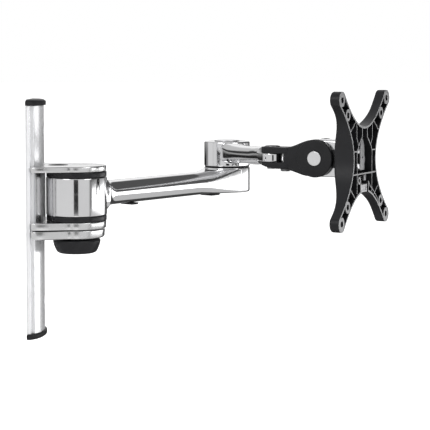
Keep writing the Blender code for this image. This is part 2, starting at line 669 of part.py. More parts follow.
def bar(name, u0, v0, u1, v1, w, top=RIB_TOP):
    """A straight rib between two points of the face."""
    l = math.hypot(u1 - u0, v1 - v0)
    du, dv = (u1 - u0) / l, (v1 - v0) / l
    pts = [
        (u0 - dv * w / 2, v0 + du * w / 2),
        (u0 + dv * w / 2, v0 - du * w / 2),
        (u1 + dv * w / 2, v1 - du * w / 2),
        (u1 - dv * w / 2, v1 + du * w / 2),
    ]
    return prism(name, pts, -24.0 + 3 * top, top, place=FACE_ON, helper=True)


adds = []
for su, sv, tag in ((1, 1, "ur"), (-1, 1, "ul"), (-1, -1, "ll"), (1, -1, "lr")):
    adds.append(rod("join_boss_outer_" + tag, BOSS_R, -14.0, -0.45, place=FACE_ON @ Matrix.Translation((su * VESA_OUTER * MM, sv * VESA_OUTER * MM, 0)), helper=True, n=20))
    adds.append(rod("join_boss_inner_" + tag, BOSS_R, -14.0, -0.45, place=FACE_ON @ Matrix.Translation((su * VESA_INNER * MM, sv * VESA_INNER * MM, 0)), helper=True, n=20))
    adds.append(bar("join_rib_cross_" + tag, su * 21.2, sv * 31.9, su * 31.8, sv * 23.0, 1.6, -0.5))
adds.append(bar("join_rib_low", -25.6, -12.0, 25.6, -12.0, 1.7))
adds.append(bar("join_rib_left", -17.0, -28.6, -17.0, 30.2, 1.7, -0.55))
adds.append(bar("join_rib_right", 17.0, -28.6, 17.0, 30.2, 1.7, -0.55))
adds.append(bar("join_rib_top", -26.4, 14.0, 26.4, 14.0, 1.7, -0.7))
hub = rod("join_roll_hub", 9.6, -FACE_REACH + 18.0, -5.6, place=FACE_ON, helper=True, n=40)
ribs = adds[0]
boolean(ribs, adds[1:], "UNION")
boolean(ribs, [side_profile("shape_rib_back", PLATE_TIP - 1.0, PLATE_MID - 1.0, 5)], "INTERSECT")
boolean(plate, [ribs, hub], "UNION")
holes = []
for su, sv, tag in ((1, 1, "ur"), (-1, 1, "ul"), (-1, -1, "ll"), (1, -1, "lr")):
    for r, what in ((VESA_OUTER, "outer"), (VESA_INNER, "inner")):
        holes.append(rod("cut_vesa_%s_%s" % (what, tag), VESA_HOLE_R, -25, 5, place=FACE_ON @ Matrix.Translation((su * r * MM, sv * r * MM, 0)), helper=True, n=16))
holes.append(rod("cut_roll_bore", 6.3, -40, 5, place=FACE_ON, helper=True, n=32))
slot = [(-8.0, -30.0), (8.0, -30.0), (8.0, -18.2), (-8.0, -18.2)]
holes.append(prism("cut_button_window", slot, -8.5, 5, place=FACE_ON, helper=True))
boolean(plate, holes, "DIFFERENCE")

F0 = (*FACE, TILT_Z)
ring_of("roll_washer", 2.6, 8.8, -5.3, -4.3, STEEL, FACE_ON, F0, n=24, edge=0.2)
turned("roll_screw", [(2.0, -15.5), (2.0, -4.0), (4.6, -4.0), (4.6, -2.2), (4.0, -1.6), (1.7, -1.6), (1.7, -3.0), (0, -3.0)], STEEL, FACE_ON, F0, n=28)
prism("release_slider", [(-9.4, -8.8), (-0.4, -8.8), (-0.4, 9.0), (-3.4, 12.8), (-7.0, 12.8), (-9.4, 10.4)], -1.3, -0.4, STEEL, FACE_ON, F0)
prism("release_button", [(-6.8, -28.0), (6.8, -28.0), (6.8, -20.6), (-6.8, -20.6)], -7.6, -0.6, POLISHED, FACE_ON, F0, edge=0.5)


def coil(name, r, wire, turns, length, place, origin, per=10, sides=5):
    """A small compression spring as one swept wire."""
    rings = []
    steps = int(turns * per)
    for i in range(steps + 1):
        t = 2 * math.pi * i / per
        y = length * i / steps
        c = Vector((r * math.cos(t), y, r * math.sin(t)))
        radial = Vector((math.cos(t), 0, math.sin(t)))
        ring = []
        for k in range(sides):
            a = 2 * math.pi * k / sides
            p = c + wire * (math.cos(a) * radial + math.sin(a) * Vector((0, 1, 0)))
            ring.append(tuple(p))
        rings.append(ring)
    return loft(name, rings, SPRING, place, origin)


coil("release_spring", 1.7, 0.35, 4.0, 6.25, FACE_ON @ Matrix.Translation((0, -19.9 * MM, -5.0 * MM)), F0)
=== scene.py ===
import json
import math
import random

import bmesh
import bpy
import numpy as np
from mathutils import Matrix, Vector


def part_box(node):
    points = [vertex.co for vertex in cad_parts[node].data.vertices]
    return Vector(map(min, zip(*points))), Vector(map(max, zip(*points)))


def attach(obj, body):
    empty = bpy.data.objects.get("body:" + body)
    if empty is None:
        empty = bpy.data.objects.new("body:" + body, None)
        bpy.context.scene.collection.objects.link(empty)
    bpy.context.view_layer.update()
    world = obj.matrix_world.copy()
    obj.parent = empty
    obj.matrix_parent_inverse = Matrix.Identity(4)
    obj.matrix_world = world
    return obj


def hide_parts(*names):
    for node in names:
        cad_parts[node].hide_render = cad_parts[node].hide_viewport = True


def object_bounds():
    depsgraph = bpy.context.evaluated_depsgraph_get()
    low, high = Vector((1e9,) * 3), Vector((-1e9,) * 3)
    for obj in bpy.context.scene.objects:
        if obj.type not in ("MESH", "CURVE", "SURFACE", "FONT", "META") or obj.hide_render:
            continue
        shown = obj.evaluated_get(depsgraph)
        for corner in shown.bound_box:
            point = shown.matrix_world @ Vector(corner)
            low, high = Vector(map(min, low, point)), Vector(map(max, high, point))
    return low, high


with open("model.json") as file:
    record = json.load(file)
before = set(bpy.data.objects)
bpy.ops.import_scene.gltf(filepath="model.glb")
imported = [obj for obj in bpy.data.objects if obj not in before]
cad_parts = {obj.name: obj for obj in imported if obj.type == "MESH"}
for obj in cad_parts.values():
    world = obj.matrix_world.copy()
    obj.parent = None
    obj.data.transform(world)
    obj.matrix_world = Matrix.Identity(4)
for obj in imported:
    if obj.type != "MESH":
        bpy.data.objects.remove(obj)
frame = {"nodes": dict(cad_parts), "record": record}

CAD_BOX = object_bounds()
MM = 0.001
random.seed(7)

# ------------------------------------------------------------------ places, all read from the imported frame
joints = {j["name"]: j for j in frame["record"]["behaviour"]["joints"]}


def at(name):
    return [c / MM for c in joints[name]["pos_m"]]


SHOULDER = at("shoulder_swing")[:2]
ELBOW = at("elbow_swing")[:2]
PAN = at("head_pan")[:2]
TILT = at("screen_tilt")
FACE = at("screen_roll")
n_axis = Vector(joints["screen_roll"]["axis"])
ah = math.atan2(n_axis.y, n_axis.x)
a1 = math.atan2(ELBOW[1] - SHOULDER[1], ELBOW[0] - SHOULDER[0])
a2 = math.atan2(PAN[1] - ELBOW[1], PAN[0] - ELBOW[0])
L1 = math.hypot(ELBOW[0] - SHOULDER[0], ELBOW[1] - SHOULDER[1])
L2 = math.hypot(PAN[0] - ELBOW[0], PAN[1] - ELBOW[1])
TILT_Z = TILT[2]
FACE_REACH = math.hypot(FACE[0] - TILT[0], FACE[1] - TILT[1])
TILT_REACH = math.hypot(TILT[0] - PAN[0], TILT[1] - PAN[1])


def zs(node):
    lo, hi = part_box(node)
    return lo[2] / MM, hi[2] / MM


def frame_at(x, y, z, angle):
    return Matrix.Translation((x * MM, y * MM, z * MM)) @ Matrix.Rotation(angle, 4, "Z")


WORLD = Matrix.Identity(4)
AT_SHOULDER = frame_at(SHOULDER[0], SHOULDER[1], 0, 0)
ALONG_ARM1 = frame_at(SHOULDER[0], SHOULDER[1], 0, a1)
AT_ELBOW = frame_at(ELBOW[0], ELBOW[1], 0, a1)
ALONG_ARM2 = frame_at(ELBOW[0], ELBOW[1], 0, a2)
AT_PAN = frame_at(PAN[0], PAN[1], 0, ah)
AT_TILT = frame_at(TILT[0], TILT[1], TILT_Z, ah)
AT_FACE = frame_at(FACE[0], FACE[1], TILT_Z, ah)
SIDEWAYS = Matrix(((0, 1, 0, 0), (0, 0, 1, 0), (1, 0, 0, 0), (0, 0, 0, 1)))
OUTWARD = Matrix(((0, 0, 1, 0), (1, 0, 0, 0), (0, 1, 0, 0), (0, 0, 0, 1)))
FACE_ON = AT_FACE @ OUTWARD
helpers = []


# ------------------------------------------------------------------ mesh tools
def finish(bm, name, place, helper, sharp=35):
    bmesh.ops.recalc_face_normals(bm, faces=bm.faces)
    if sum(f.calc_center_median().dot(f.normal) * f.calc_area() for f in bm.faces) < 0:
        bmesh.ops.reverse_faces(bm, faces=bm.faces)
    mesh = bpy.data.meshes.new(name)
    bm.to_mesh(mesh)
    bm.free()
    mesh.transform(place)
    mesh.shade_smooth()
    mesh.set_sharp_from_angle(angle=math.radians(sharp))
    obj = bpy.data.objects.new(name, mesh)
    bpy.context.scene.collection.objects.link(obj)
    if helper:
        obj.hide_render = True
        obj.display_type = "WIRE"
        helpers.append(obj)
    return obj


def loft(name, rings, place=WORLD, helper=False, sharp=35, ngon=True):
    bm = bmesh.new()
    made = [[bm.verts.new([c * MM for c in p]) for p in ring] for ring in rings]
    n = len(made[0])
    for a, b in zip(made, made[1:]):
        for i in range(n):
            j = (i + 1) % n
            bm.faces.new((a[i], a[j], b[j], b[i]))
    bm.faces.new(list(reversed(made[0])))
    bm.faces.new(made[-1])
    return finish(bm, name, place, helper, sharp)


def offset(points, by):
    area = sum(a[0] * b[1] - b[0] * a[1] for a, b in zip(points, points[1:] + points[:1]))
    side = 1 if area > 0 else -1
    out, n = [], len(points)
    for i in range(n):
        (x0, y0), (x1, y1), (x2, y2) = points[i - 1], points[i], points[(i + 1) % n]
        ax, ay, bx, by_ = x1 - x0, y1 - y0, x2 - x1, y2 - y1
        la, lb = math.hypot(ax, ay), math.hypot(bx, by_)
        nx, ny = ay / la + by_ / lb, -ax / la - bx / lb
        ln = math.hypot(nx, ny)
        nx, ny = nx / ln, ny / ln
        k = side * by / max(nx * ay / la - ny * ax / la, 0.5)
        out.append((x1 + nx * k, y1 + ny * k))
    return out


def prism(name, outline, z0, z1, place=WORLD, helper=False, edge=0.0, steps=3, low_edge=None, draft=0.0):
    """An outline carried from z0 to z1 with its two rims rounded over by a radius, and its foot drawn in by draft."""
    foot = offset(outline, -draft) if draft else outline
    low = edge if low_edge is None else low_edge
    rings = []
    if low:
        rings = [
            [(x, y, z0 + low * (1 - math.cos(math.pi / 2 * k / steps))) for x, y in offset(foot, -low * (1 - math.sin(math.pi / 2 * k / steps)))]
            for k in range(steps + 1)
        ]
    else:
        rings.append([(x, y, z0) for x, y in foot])
    if edge:
        rings += [
            [(x, y, z1 - edge * (1 - math.sin(math.pi / 2 * k / steps))) for x, y in offset(outline, -edge * (1 - math.cos(math.pi / 2 * k / steps)))]
            for k in range(steps + 1)
        ]
    else:
        rings.append([(x, y, z1) for x, y in outline])
    return loft(name, rings, place, helper)


def turned(name, profile, place=WORLD, helper=False, n=96, hole=False, sharp=35):
    bm = bmesh.new()
    rings = []
    for r, z in profile:
        if r == 0:
            rings.append([bm.verts.new((0, 0, z * MM))])
        else:
            rings.append([bm.verts.new((r * MM * math.cos(2 * math.pi * k / n), r * MM * math.sin(2 * math.pi * k / n), z * MM)) for k in range(n)])
    pairs = list(zip(rings, rings[1:]))
    if hole:
        pairs.append((rings[-1], rings[0]))
    for a, b in pairs:
        for k in range(n):
            j = (k + 1) % n
            if len(a) == 1:
                bm.faces.new((a[0], b[j], b[k]))
            elif len(b) == 1:
                bm.faces.new((a[k], a[j], b[0]))
            else:
                bm.faces.new((a[k], a[j], b[j], b[k]))
    if not hole:
        if len(rings[0]) > 1:
            bm.faces.new(list(reversed(rings[0])))
        if len(rings[-1]) > 1:
            bm.faces.new(rings[-1])
    return finish(bm, name, place, helper, sharp)


def fillet(profile, radius, steps=4, hole=False):
    """A turned profile with its corners rounded. A radius of None at a point keeps that corner."""
    out = []
    n = len(profile)
    radii = radius if isinstance(radius, (list, tuple)) else [radius] * n
    for i, p in enumerate(profile):
        r = radii[i]
        if not r or (not hole and i in (0, n - 1)):
            out.append(p)
            continue
        a, b = Vector(profile[i - 1]), Vector(profile[(i + 1) % n])
        c = Vector(p)
        da, db = (a - c), (b - c)
        ra = min(r, da.length * 0.49)
        rb = min(r, db.length * 0.49)
        q = min(ra, rb)
        pa, pb = c + da.normalized() * q, c + db.normalized() * q
        for k in range(steps + 1):
            t = k / steps
            v = (1 - t) ** 2 * pa + 2 * t * (1 - t) * c + t ** 2 * pb
            out.append((max(v.x, 0.0), v.y))
    return out


def rod(name, r, z0, z1, place=WORLD, helper=False, n=64, edge=0.0):
    if edge:
        return turned(name, fillet([(0, z0), (r, z0), (r, z1), (0, z1)], [None, edge, edge, None]), place, helper, n)
    return turned(name, [(r, z0), (r, z1)], place, helper, n)


def arc(cx, cy, r, d0, d1, n):
    return [(cx + r * math.cos(math.radians(d0 + (d1 - d0) * k / n)), cy + r * math.sin(math.radians(d0 + (d1 - d0) * k / n))) for k in range(n + 1)]


def rounded(hy, z0, z1, r, x, n=8, top=None):
    """A ring across an arm: a rounded rectangle, with its own radius for the top corners."""
    rt = r if top is None else top
    pts = []
    for cy, cz, d, rr in ((hy - rt, z1 - rt, 0, rt), (-hy + rt, z1 - rt, 90, rt), (-hy + r, z0 + r, 180, r), (hy - r, z0 + r, 270, r)):
        pts += arc(cy, cz, rr, d, d + 90, n)
    return [(x, y, z) for y, z in pts]


def smooth_rings(keys, count, n=8):
    """Rings between key sections (x, hy, z0, z1, r, r_top), eased with a Catmull-Rom curve through the keys."""
    xs = [k[0] for k in keys]
    rings = []
    for i in range(count + 1):
        x = xs[0] + (xs[-1] - xs[0]) * i / count
        j = max(k for k in range(len(xs) - 1) if xs[k] <= x + 1e-9)
        t = (x - xs[j]) / (xs[j + 1] - xs[j])
        p0, p1, p2, p3 = keys[max(j - 1, 0)], keys[j], keys[j + 1], keys[min(j + 2, len(keys) - 1)]
        v = []
        for c in range(1, 6):
            h = xs[j + 1] - xs[j]
            m1 = (p2[c] - p0[c]) / max(p2[0] - p0[0], 1e-6) * h
            m2 = (p3[c] - p1[c]) / max(p3[0] - p1[0], 1e-6) * h
            if (p1[c] - p0[c]) * (p2[c] - p1[c]) <= 0:
                m1 = 0
            if (p2[c] - p1[c]) * (p3[c] - p2[c]) <= 0:
                m2 = 0
            v.append((2 * t**3 - 3 * t**2 + 1) * p1[c] + (t**3 - 2 * t**2 + t) * m1 + (-2 * t**3 + 3 * t**2) * p2[c] + (t**3 - t**2) * m2)
        rings.append(rounded(v[0], v[1], v[2], v[3], x, n, v[4]))
    return rings


def boolean(target, others, operation):
    for other in others:
        m = target.modifiers.new("b", "BOOLEAN")
        m.operation = operation
        m.object = other
        m.solver = "EXACT"
    return target


def settle(obj, bevel=0.0, segments=3, angle=32, sharp=35):
    """Applies the modifiers, then rounds the sharp edges and smooths the shading."""
    bpy.context.view_layer.update()
    mesh = bpy.data.meshes.new_from_object(obj.evaluated_get(bpy.context.evaluated_depsgraph_get()))
    obj.modifiers.clear()
    obj.data = mesh
    bm = bmesh.new()
    bm.from_mesh(mesh)
    bmesh.ops.remove_doubles(bm, verts=bm.verts, dist=2e-6)
    bmesh.ops.dissolve_degenerate(bm, edges=bm.edges, dist=2e-6)
    bmesh.ops.dissolve_limit(bm, angle_limit=math.radians(0.3), verts=bm.verts, edges=bm.edges, delimit={"SHARP"})
    bm.to_mesh(mesh)
    bm.free()
    mesh.shade_smooth()
    if bevel:
        m = obj.modifiers.new("rounded_edges", "BEVEL")
        m.width = bevel * MM
        m.segments = segments
        m.limit_method = "ANGLE"
        m.angle_limit = math.radians(angle)
        m.use_clamp_overlap = True
        m.harden_normals = True
        m.miter_outer = "MITER_ARC"
    else:
        mesh.set_sharp_from_angle(angle=math.radians(sharp))
    return obj


def clear_helpers():
    for o in list(helpers):
        bpy.data.objects.remove(o, do_unlink=True)
    helpers.clear()


# ------------------------------------------------------------------ materials
class Nodes:
    def __init__(self, name):
        self.m = bpy.data.materials.new(name)
        self.m.use_nodes = True
        self.t = self.m.node_tree
        self.bsdf = self.t.nodes["Principled BSDF"]
        self.coord = self.t.nodes.new("ShaderNodeTexCoord")

    def node(self, kind, **values):
        n = self.t.nodes.new(kind)
        for k, v in values.items():
            if hasattr(n, k) and k not in n.inputs:
                setattr(n, k, v)
            else:
                n.inputs[k].default_value = v
        return n

    def link(self, a, b):
        self.t.links.new(a, b)

    def mapped(self, scale, rotation=(0, 0, 0)):
        m = self.node("ShaderNodeMapping")
        m.inputs["Scale"].default_value = scale
        m.inputs["Rotation"].default_value = rotation
        self.link(self.coord.outputs["Object"], m.inputs["Vector"])
        return m.outputs["Vector"]

    def noise(self, scale, detail=4.0, rough=0.55, stretch=(1, 1, 1), rotation=(0, 0, 0), distortion=0.0):
        n = self.node("ShaderNodeTexNoise")
        n.inputs["Scale"].default_value = scale
        n.inputs["Detail"].default_value = detail
        n.inputs["Roughness"].default_value = rough
        n.inputs["Distortion"].default_value = distortion
        self.link(self.mapped(stretch, rotation), n.inputs["Vector"])
        return n.outputs["Fac"]

    def range(self, value, lo, hi, a, b, clamp=True):
        r = self.node("ShaderNodeMapRange")
        r.clamp = clamp
        r.inputs["From Min"].default_value = lo
        r.inputs["From Max"].default_value = hi
        r.inputs["To Min"].default_value = a
        r.inputs["To Max"].default_value = b
        self.link(value, r.inputs["Value"])
        return r.outputs["Result"]

    def math(self, op, a, b=None, clamp=False):
        n = self.node("ShaderNodeMath")
        n.operation = op
        n.use_clamp = clamp
        for i, v in enumerate((a, b)):
            if v is None:
                continue
            if isinstance(v, (int, float)):
                n.inputs[i].default_value = v
            else:
                self.link(v, n.inputs[i])
        return n.outputs[0]

    def mix_color(self, fac, a, b):
        n = self.node("ShaderNodeMix")
        n.data_type = "RGBA"
        if isinstance(fac, (int, float)):
            n.inputs[0].default_value = fac
        else:
            self.link(fac, n.inputs[0])
        for i, v in ((6, a), (7, b)):
            if isinstance(v, tuple):
                n.inputs[i].default_value = (*v, 1)
            else:
                self.link(v, n.inputs[i])
        return n.outputs[2]

    def mix_value(self, fac, a, b):
        n = self.node("ShaderNodeMix")
        n.data_type = "FLOAT"
        self.link(fac, n.inputs[0]) if not isinstance(fac, (int, float)) else setattr(n.inputs[0], "default_value", fac)
        for i, v in ((2, a), (3, b)):
            if isinstance(v, (int, float)):
                n.inputs[i].default_value = v
            else:
                self.link(v, n.inputs[i])
        return n.outputs[0]

    def bump(self, height, strength, distance=0.0002, normal=None):
        n = self.node("ShaderNodeBump")
        n.inputs["Strength"].default_value = strength
        n.inputs["Distance"].default_value = distance
        self.link(height, n.inputs["Height"])
        if normal is not None:
            self.link(normal, n.inputs["Normal"])
        return n.outputs["Normal"]


def polished_metal(name, base=(0.80, 0.80, 0.81), low=0.05, high=0.13, grain=(1, 1, 1), wave=0.10, scratches=0.12):
    """Hand-polished cast aluminium: nearly a mirror, with a faint waviness, fine polishing lines and dulled patches."""
    n = Nodes(name)
    patches = n.noise(38, 5, 0.6)
    fine = n.noise(900, 3, 0.6, grain)
    hair = n.noise(260, 2, 0.5, (grain[0] * 0.25 + 0.02, grain[1] * 0.25 + 2.2, grain[2]), (0.3, 0.2, 0.5))
    tone = n.range(patches, 0.35, 0.7, 0.0, 1.0)
    n.link(n.mix_color(tone, tuple(c * 0.965 for c in base), tuple(min(1.0, c * 1.02) for c in base)), n.bsdf.inputs["Base Color"])
    r = n.range(patches, 0.3, 0.75, low, high)
    r = n.math("ADD", r, n.range(hair, 0.62, 0.78, 0.0, 0.10))
    n.link(r, n.bsdf.inputs["Roughness"])
    b = n.bump(n.noise(42, 2, 0.4), wave, 0.0004)
    b = n.bump(fine, scratches * 0.35, 0.00003, b)
    b = n.bump(n.range(hair, 0.6, 0.8, 0.0, 1.0), scratches * 0.5, 0.00002, b)
    n.link(b, n.bsdf.inputs["Normal"])
    n.bsdf.inputs["Metallic"].default_value = 1.0
    return n.m


def anodised(name):
    """Satin anodised extrusion: soft sheen with fine die lines along its length and a few faint rub marks."""
    n = Nodes(name)
    lines = n.noise(1.0, 3, 0.65, (2200, 2200, 6))
    broad = n.noise(1.0, 3, 0.5, (260, 260, 2))
    speck = n.noise(2600, 2, 0.6)
    rub = n.noise(14, 4, 0.7, (1, 1, 0.6))
    c = n.mix_color(n.range(broad, 0.3, 0.7, 0, 1), (0.86, 0.865, 0.88), (0.92, 0.923, 0.935))
    c = n.mix_color(n.math("MULTIPLY", n.range(rub, 0.58, 0.75, 0, 1), 0.25), c, (0.70, 0.705, 0.72))
    n.link(c, n.bsdf.inputs["Base Color"])
    r = n.math("ADD", n.range(lines, 0.2, 0.8, 0.22, 0.33), n.range(rub, 0.4, 0.8, 0.0, 0.06))
    n.link(r, n.bsdf.inputs["Roughness"])
    b = n.bump(lines, 0.22, 0.00002)
    b = n.bump(speck, 0.10, 0.00001, b)
    n.link(b, n.bsdf.inputs["Normal"])
    n.bsdf.inputs["Metallic"].default_value = 0.72
    return n.m


def steel(name, base=(0.58, 0.58, 0.59), low=0.2, high=0.34):
    n = Nodes(name)
    swirl = n.noise(420, 4, 0.6, (1, 1, 1), distortion=1.5)
    stain = n.noise(70, 4, 0.6)
    n.link(n.mix_color(n.range(stain, 0.35, 0.7, 0, 1), tuple(c * 0.9 for c in base), base), n.bsdf.inputs["Base Color"])
    n.link(n.range(swirl, 0.25, 0.75, low, high), n.bsdf.inputs["Roughness"])
    n.link(n.bump(swirl, 0.15, 0.00003), n.bsdf.inputs["Normal"])
    n.bsdf.inputs["Metallic"].default_value = 1.0
    return n.m


def plastic(name, base=(0.008, 0.008, 0.009), low=0.38, high=0.52, grain=1500, bump=0.25, ridge=False):
    """Moulded black plastic with a fine spark texture, a few dust-grey rubs and a soft sheen."""
    n = Nodes(name)
    spark = n.noise(grain, 2, 0.6)
    flow = n.noise(55, 4, 0.6)
    rub = n.noise(160, 5, 0.7)
    c = n.mix_color(n.range(flow, 0.3, 0.75, 0, 1), base, tuple(c * 1.7 for c in base))
    c = n.mix_color(n.math("MULTIPLY", n.range(rub, 0.66, 0.8, 0, 1), 0.35), c, (0.075, 0.075, 0.08))
    n.link(c, n.bsdf.inputs["Base Color"])
    n.link(n.math("ADD", n.range(spark, 0.3, 0.7, low, high), n.range(flow, 0.3, 0.8, -0.03, 0.05)), n.bsdf.inputs["Roughness"])
    b = n.bump(spark, bump, 0.00004)
    b = n.bump(flow, 0.06, 0.0002, b)
    n.link(b, n.bsdf.inputs["Normal"])
    n.bsdf.inputs["Specular IOR Level"].default_value = 0.22
    return n.m


def black_paint(name, bare=None, low=0.32, high=0.44, base=(0.008, 0.0081, 0.009)):
    """Satin powder coat over a casting: fine orange peel, slight cloudiness, and, where bare says so, ground metal edges.

    bare is (point, direction, depth in m): surfaces facing direction and within depth of the plane through point."""
    n = Nodes(name)
    peel = n.noise(700, 3, 0.5)
    grain = n.noise(2400, 2, 0.6)
    cloud = n.noise(32, 4, 0.6)
    c = n.mix_color(n.range(cloud, 0.3, 0.72, 0, 1), base, tuple(x * 1.6 for x in base))
    r = n.math("ADD", n.range(peel, 0.3, 0.7, low, high), n.range(cloud, 0.3, 0.8, -0.03, 0.05))
    b = n.bump(peel, 0.22, 0.00006)
    b = n.bump(grain, 0.12, 0.00002, b)
    if bare is None:
        n.link(c, n.bsdf.inputs["Base Color"])
        n.link(r, n.bsdf.inputs["Roughness"])
        n.link(b, n.bsdf.inputs["Normal"])
        n.bsdf.inputs["Specular IOR Level"].default_value = 0.2
        return n.m
    point, direction, depth = bare
    dot = n.node("ShaderNodeVectorMath")
    dot.operation = "DOT_PRODUCT"
    n.link(n.coord.outputs["Object"], dot.inputs[0])
    dot.inputs[1].default_value = direction
    level = point.dot(direction)
    ragged = n.math("MULTIPLY", n.math("SUBTRACT", n.noise(480, 4, 0.65), 0.5), 0.0005)
    near = n.math("ADD", dot.outputs["Value"], ragged)
    near = n.range(near, level - depth, level - depth + 0.00012, 0.0, 1.0)
    facing = n.node("ShaderNodeVectorMath")
    facing.operation = "DOT_PRODUCT"
    n.link(n.coord.outputs["Normal"], facing.inputs[0])
    facing.inputs[1].default_value = direction
    towards = n.range(facing.outputs["Value"], 0.45, 0.75, 0.0, 1.0)
    mask = n.math("MULTIPLY", near, towards)
    grind = n.noise(1.0, 3, 0.6, (900, 900, 120), (0.0, 0.0, 0.4))
    metal = n.mix_color(n.range(grind, 0.3, 0.7, 0, 1), (0.26, 0.26, 0.265), (0.42, 0.42, 0.425))
    n.link(n.mix_color(mask, c, metal), n.bsdf.inputs["Base Color"])
    n.link(n.mix_value(mask, r, n.range(grind, 0.2, 0.8, 0.32, 0.5)), n.bsdf.inputs["Roughness"])
    n.link(mask, n.bsdf.inputs["Metallic"])
    n.bsdf.inputs["Specular IOR Level"].default_value = 0.2
    b = n.bump(grind, 0.12, 0.00002, b)
    n.link(b, n.bsdf.inputs["Normal"])
    return n.m


CHANNEL = anodised("satin_anodised_aluminium")
POLISH_DRUM = polished_metal("polished_drum", grain=(1, 1, 0.05), wave=0.02, low=0.05, high=0.10)
POLISH_PLATE = polished_metal("polished_plates", base=(0.76, 0.76, 0.765), low=0.20, high=0.27, wave=0.03, scratches=0.3)
POLISH_ARM = polished_metal("polished_arm_casting", low=0.05, high=0.12, wave=0.07)
POLISH_HEAD = polished_metal("polished_knuckle", low=0.12, high=0.22, wave=0.06)
SATIN_CAP = polished_metal("brushed_cap_metal", base=(0.78, 0.78, 0.79), low=0.26, high=0.36, wave=0.02, scratches=0.4)
STEEL = steel("zinc_plated_steel")
PLASTIC = plastic("black_moulded_plastic")
KNOB = plastic("soft_black_knob", low=0.34, high=0.46, bump=0.18)
RING = plastic("black_bearing_ring", base=(0.008, 0.008, 0.009), low=0.2, high=0.32, bump=0.08)
NYLON = plastic("dark_nylon", base=(0.03, 0.03, 0.032), low=0.4, high=0.5)
SLIDE = steel("brushed_latch_steel", base=(0.36, 0.36, 0.37), low=0.42, high=0.58)
BUTTON = steel("satin_button_metal", base=(0.50, 0.50, 0.51), low=0.34, high=0.46)
DARK_STEEL = steel("dark_plated_steel", base=(0.22, 0.22, 0.225), low=0.3, high=0.42)
PAINT = black_paint("satin_black_paint")
PLATE_PAINT = black_paint("satin_black_paint_ground_edges", bare=(Vector(FACE) * MM, n_axis, 0.0006))

material_of = {
    "shoulder_axle": STEEL, "knob_washer": STEEL, "knob_stud": STEEL, "elbow_pin": STEEL, "elbow_nut": STEEL,
    "pan_bush": NYLON, "elbow_bush_low": NYLON, "elbow_bush_high": NYLON, "tilt_bush": NYLON, "tilt_axle": STEEL,
    "release_spring": STEEL,
}
BODY = {node: body for body, nodes in frame["record"]["behaviour"]["bodies"].items() for node in nodes}
done = set()


def put(obj, node, mat, extra=()):
    """This piece stands for a CAD node, on its body, with its material."""
    obj.data.materials.clear()
    obj.data.materials.append(mat)
    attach(obj, BODY[node])
    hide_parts(node, *extra)
    done.add(node)
    done.update(extra)
    return obj


def add(obj, body, mat):
    """A small extra surface piece on a body."""
    obj.data.materials.clear()
    obj.data.materials.append(mat)
    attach(obj, body)
    return obj


# ================================================================== wall channel and caps
def ellipse_x(half, depth, y):
    return depth * math.sqrt(max(0.0, 1 - (y / half) ** 2))


CH_BOTTOM, CH_TOP = zs("wall_channel")


def channel_outline(n=40):
    side = []
    for k in range(7):
        x = 3.2 * k / 6
        side.append((x, -25.0 * math.sqrt(1 - (x / 12.0) ** 2)))
    right = side + [(3.4, -23.7), (3.4, -20.8), (3.7, -20.5), (5.9, -20.5), (6.2, -20.8), (6.2, -21.3)]
    front = []
    for k in range(-n, n + 1):
        y = 21.2 * math.sin(math.pi / 2 * k / n)
        front.append((ellipse_x(25.0, 12.0, y), y))
    return right + front + [(x, -y) for x, y in reversed(right)]


def half_round(half, back, scale_half, depth, n=28):
    pts = [(back, -half)]
    for k in range(-n, n + 1):
        y = half * math.sin(math.pi / 2 * k / n)
        pts.append((ellipse_x(scale_half, depth, y), y))
    return pts + [(back, half)]


ch = prism("wall_channel_fine", channel_outline(), CH_BOTTOM, CH_TOP)
cuts = [prism("c0", half_round(18.3, 2.2, 23.0, 9.8), CH_BOTTOM - 3, CH_TOP + 3, helper=True)]
for z in (72.0, -72.0):
    place = Matrix.Translation((0, 0, z * MM)) @ OUTWARD
    cuts.append(rod("c1", 2.8, -3, 4, place, True, 32))
    cuts.append(turned("c2", [(5.6, 6), (5.6, 11.2), (7.2, 12.8), (7.2, 20)], place, True, 48))
boolean(ch, cuts, "DIFFERENCE")
settle(ch, 0.15, 2)
put(ch, "wall_channel", CHANNEL)
clear_helpers()


def end_cap(node, end, up):
    plug = half_round(17.9, 2.6, 22.6, 9.4)
    half, depth = 26.8, 13.8
    rings = [[(x, y, end - up * 8) for x, y in plug], [(x, y, end + up * 0.3) for x, y in plug]]
    full = half_round(half * 0.9985, 0.0, half, depth)
    rings.append([(x, y, end + up * 0.3) for x, y in offset(full, -0.35)])
    rings.append([(x, y, end + up * 0.65) for x, y in full])
    lip = end + up * 3.0
    rings.append([(x, y, lip) for x, y in full])
    for k in range(1, 8):
        t = math.pi / 2 * k / 7
        inset = 4.6 * (1 - math.cos(t))
        rings.append([(x, y, lip + up * 2.3 * math.sin(t)) for x, y in half_round(half - inset, min(inset * 0.35, 1.2), half - inset + 0.02, depth - inset)])
    obj = loft(node + "_fine", rings, sharp=40)
    return put(obj, node, PLASTIC)


end_cap("channel_cap_top", CH_TOP, 1)
end_cap("channel_cap_bottom", CH_BOTTOM, -1)


# ================================================================== carriage
def hug(half, depth, y0, y1, n):
    return [(ellipse_x(half, depth, y), y) for y in (y0 + (y1 - y0) * k / n for k in range(n + 1))]


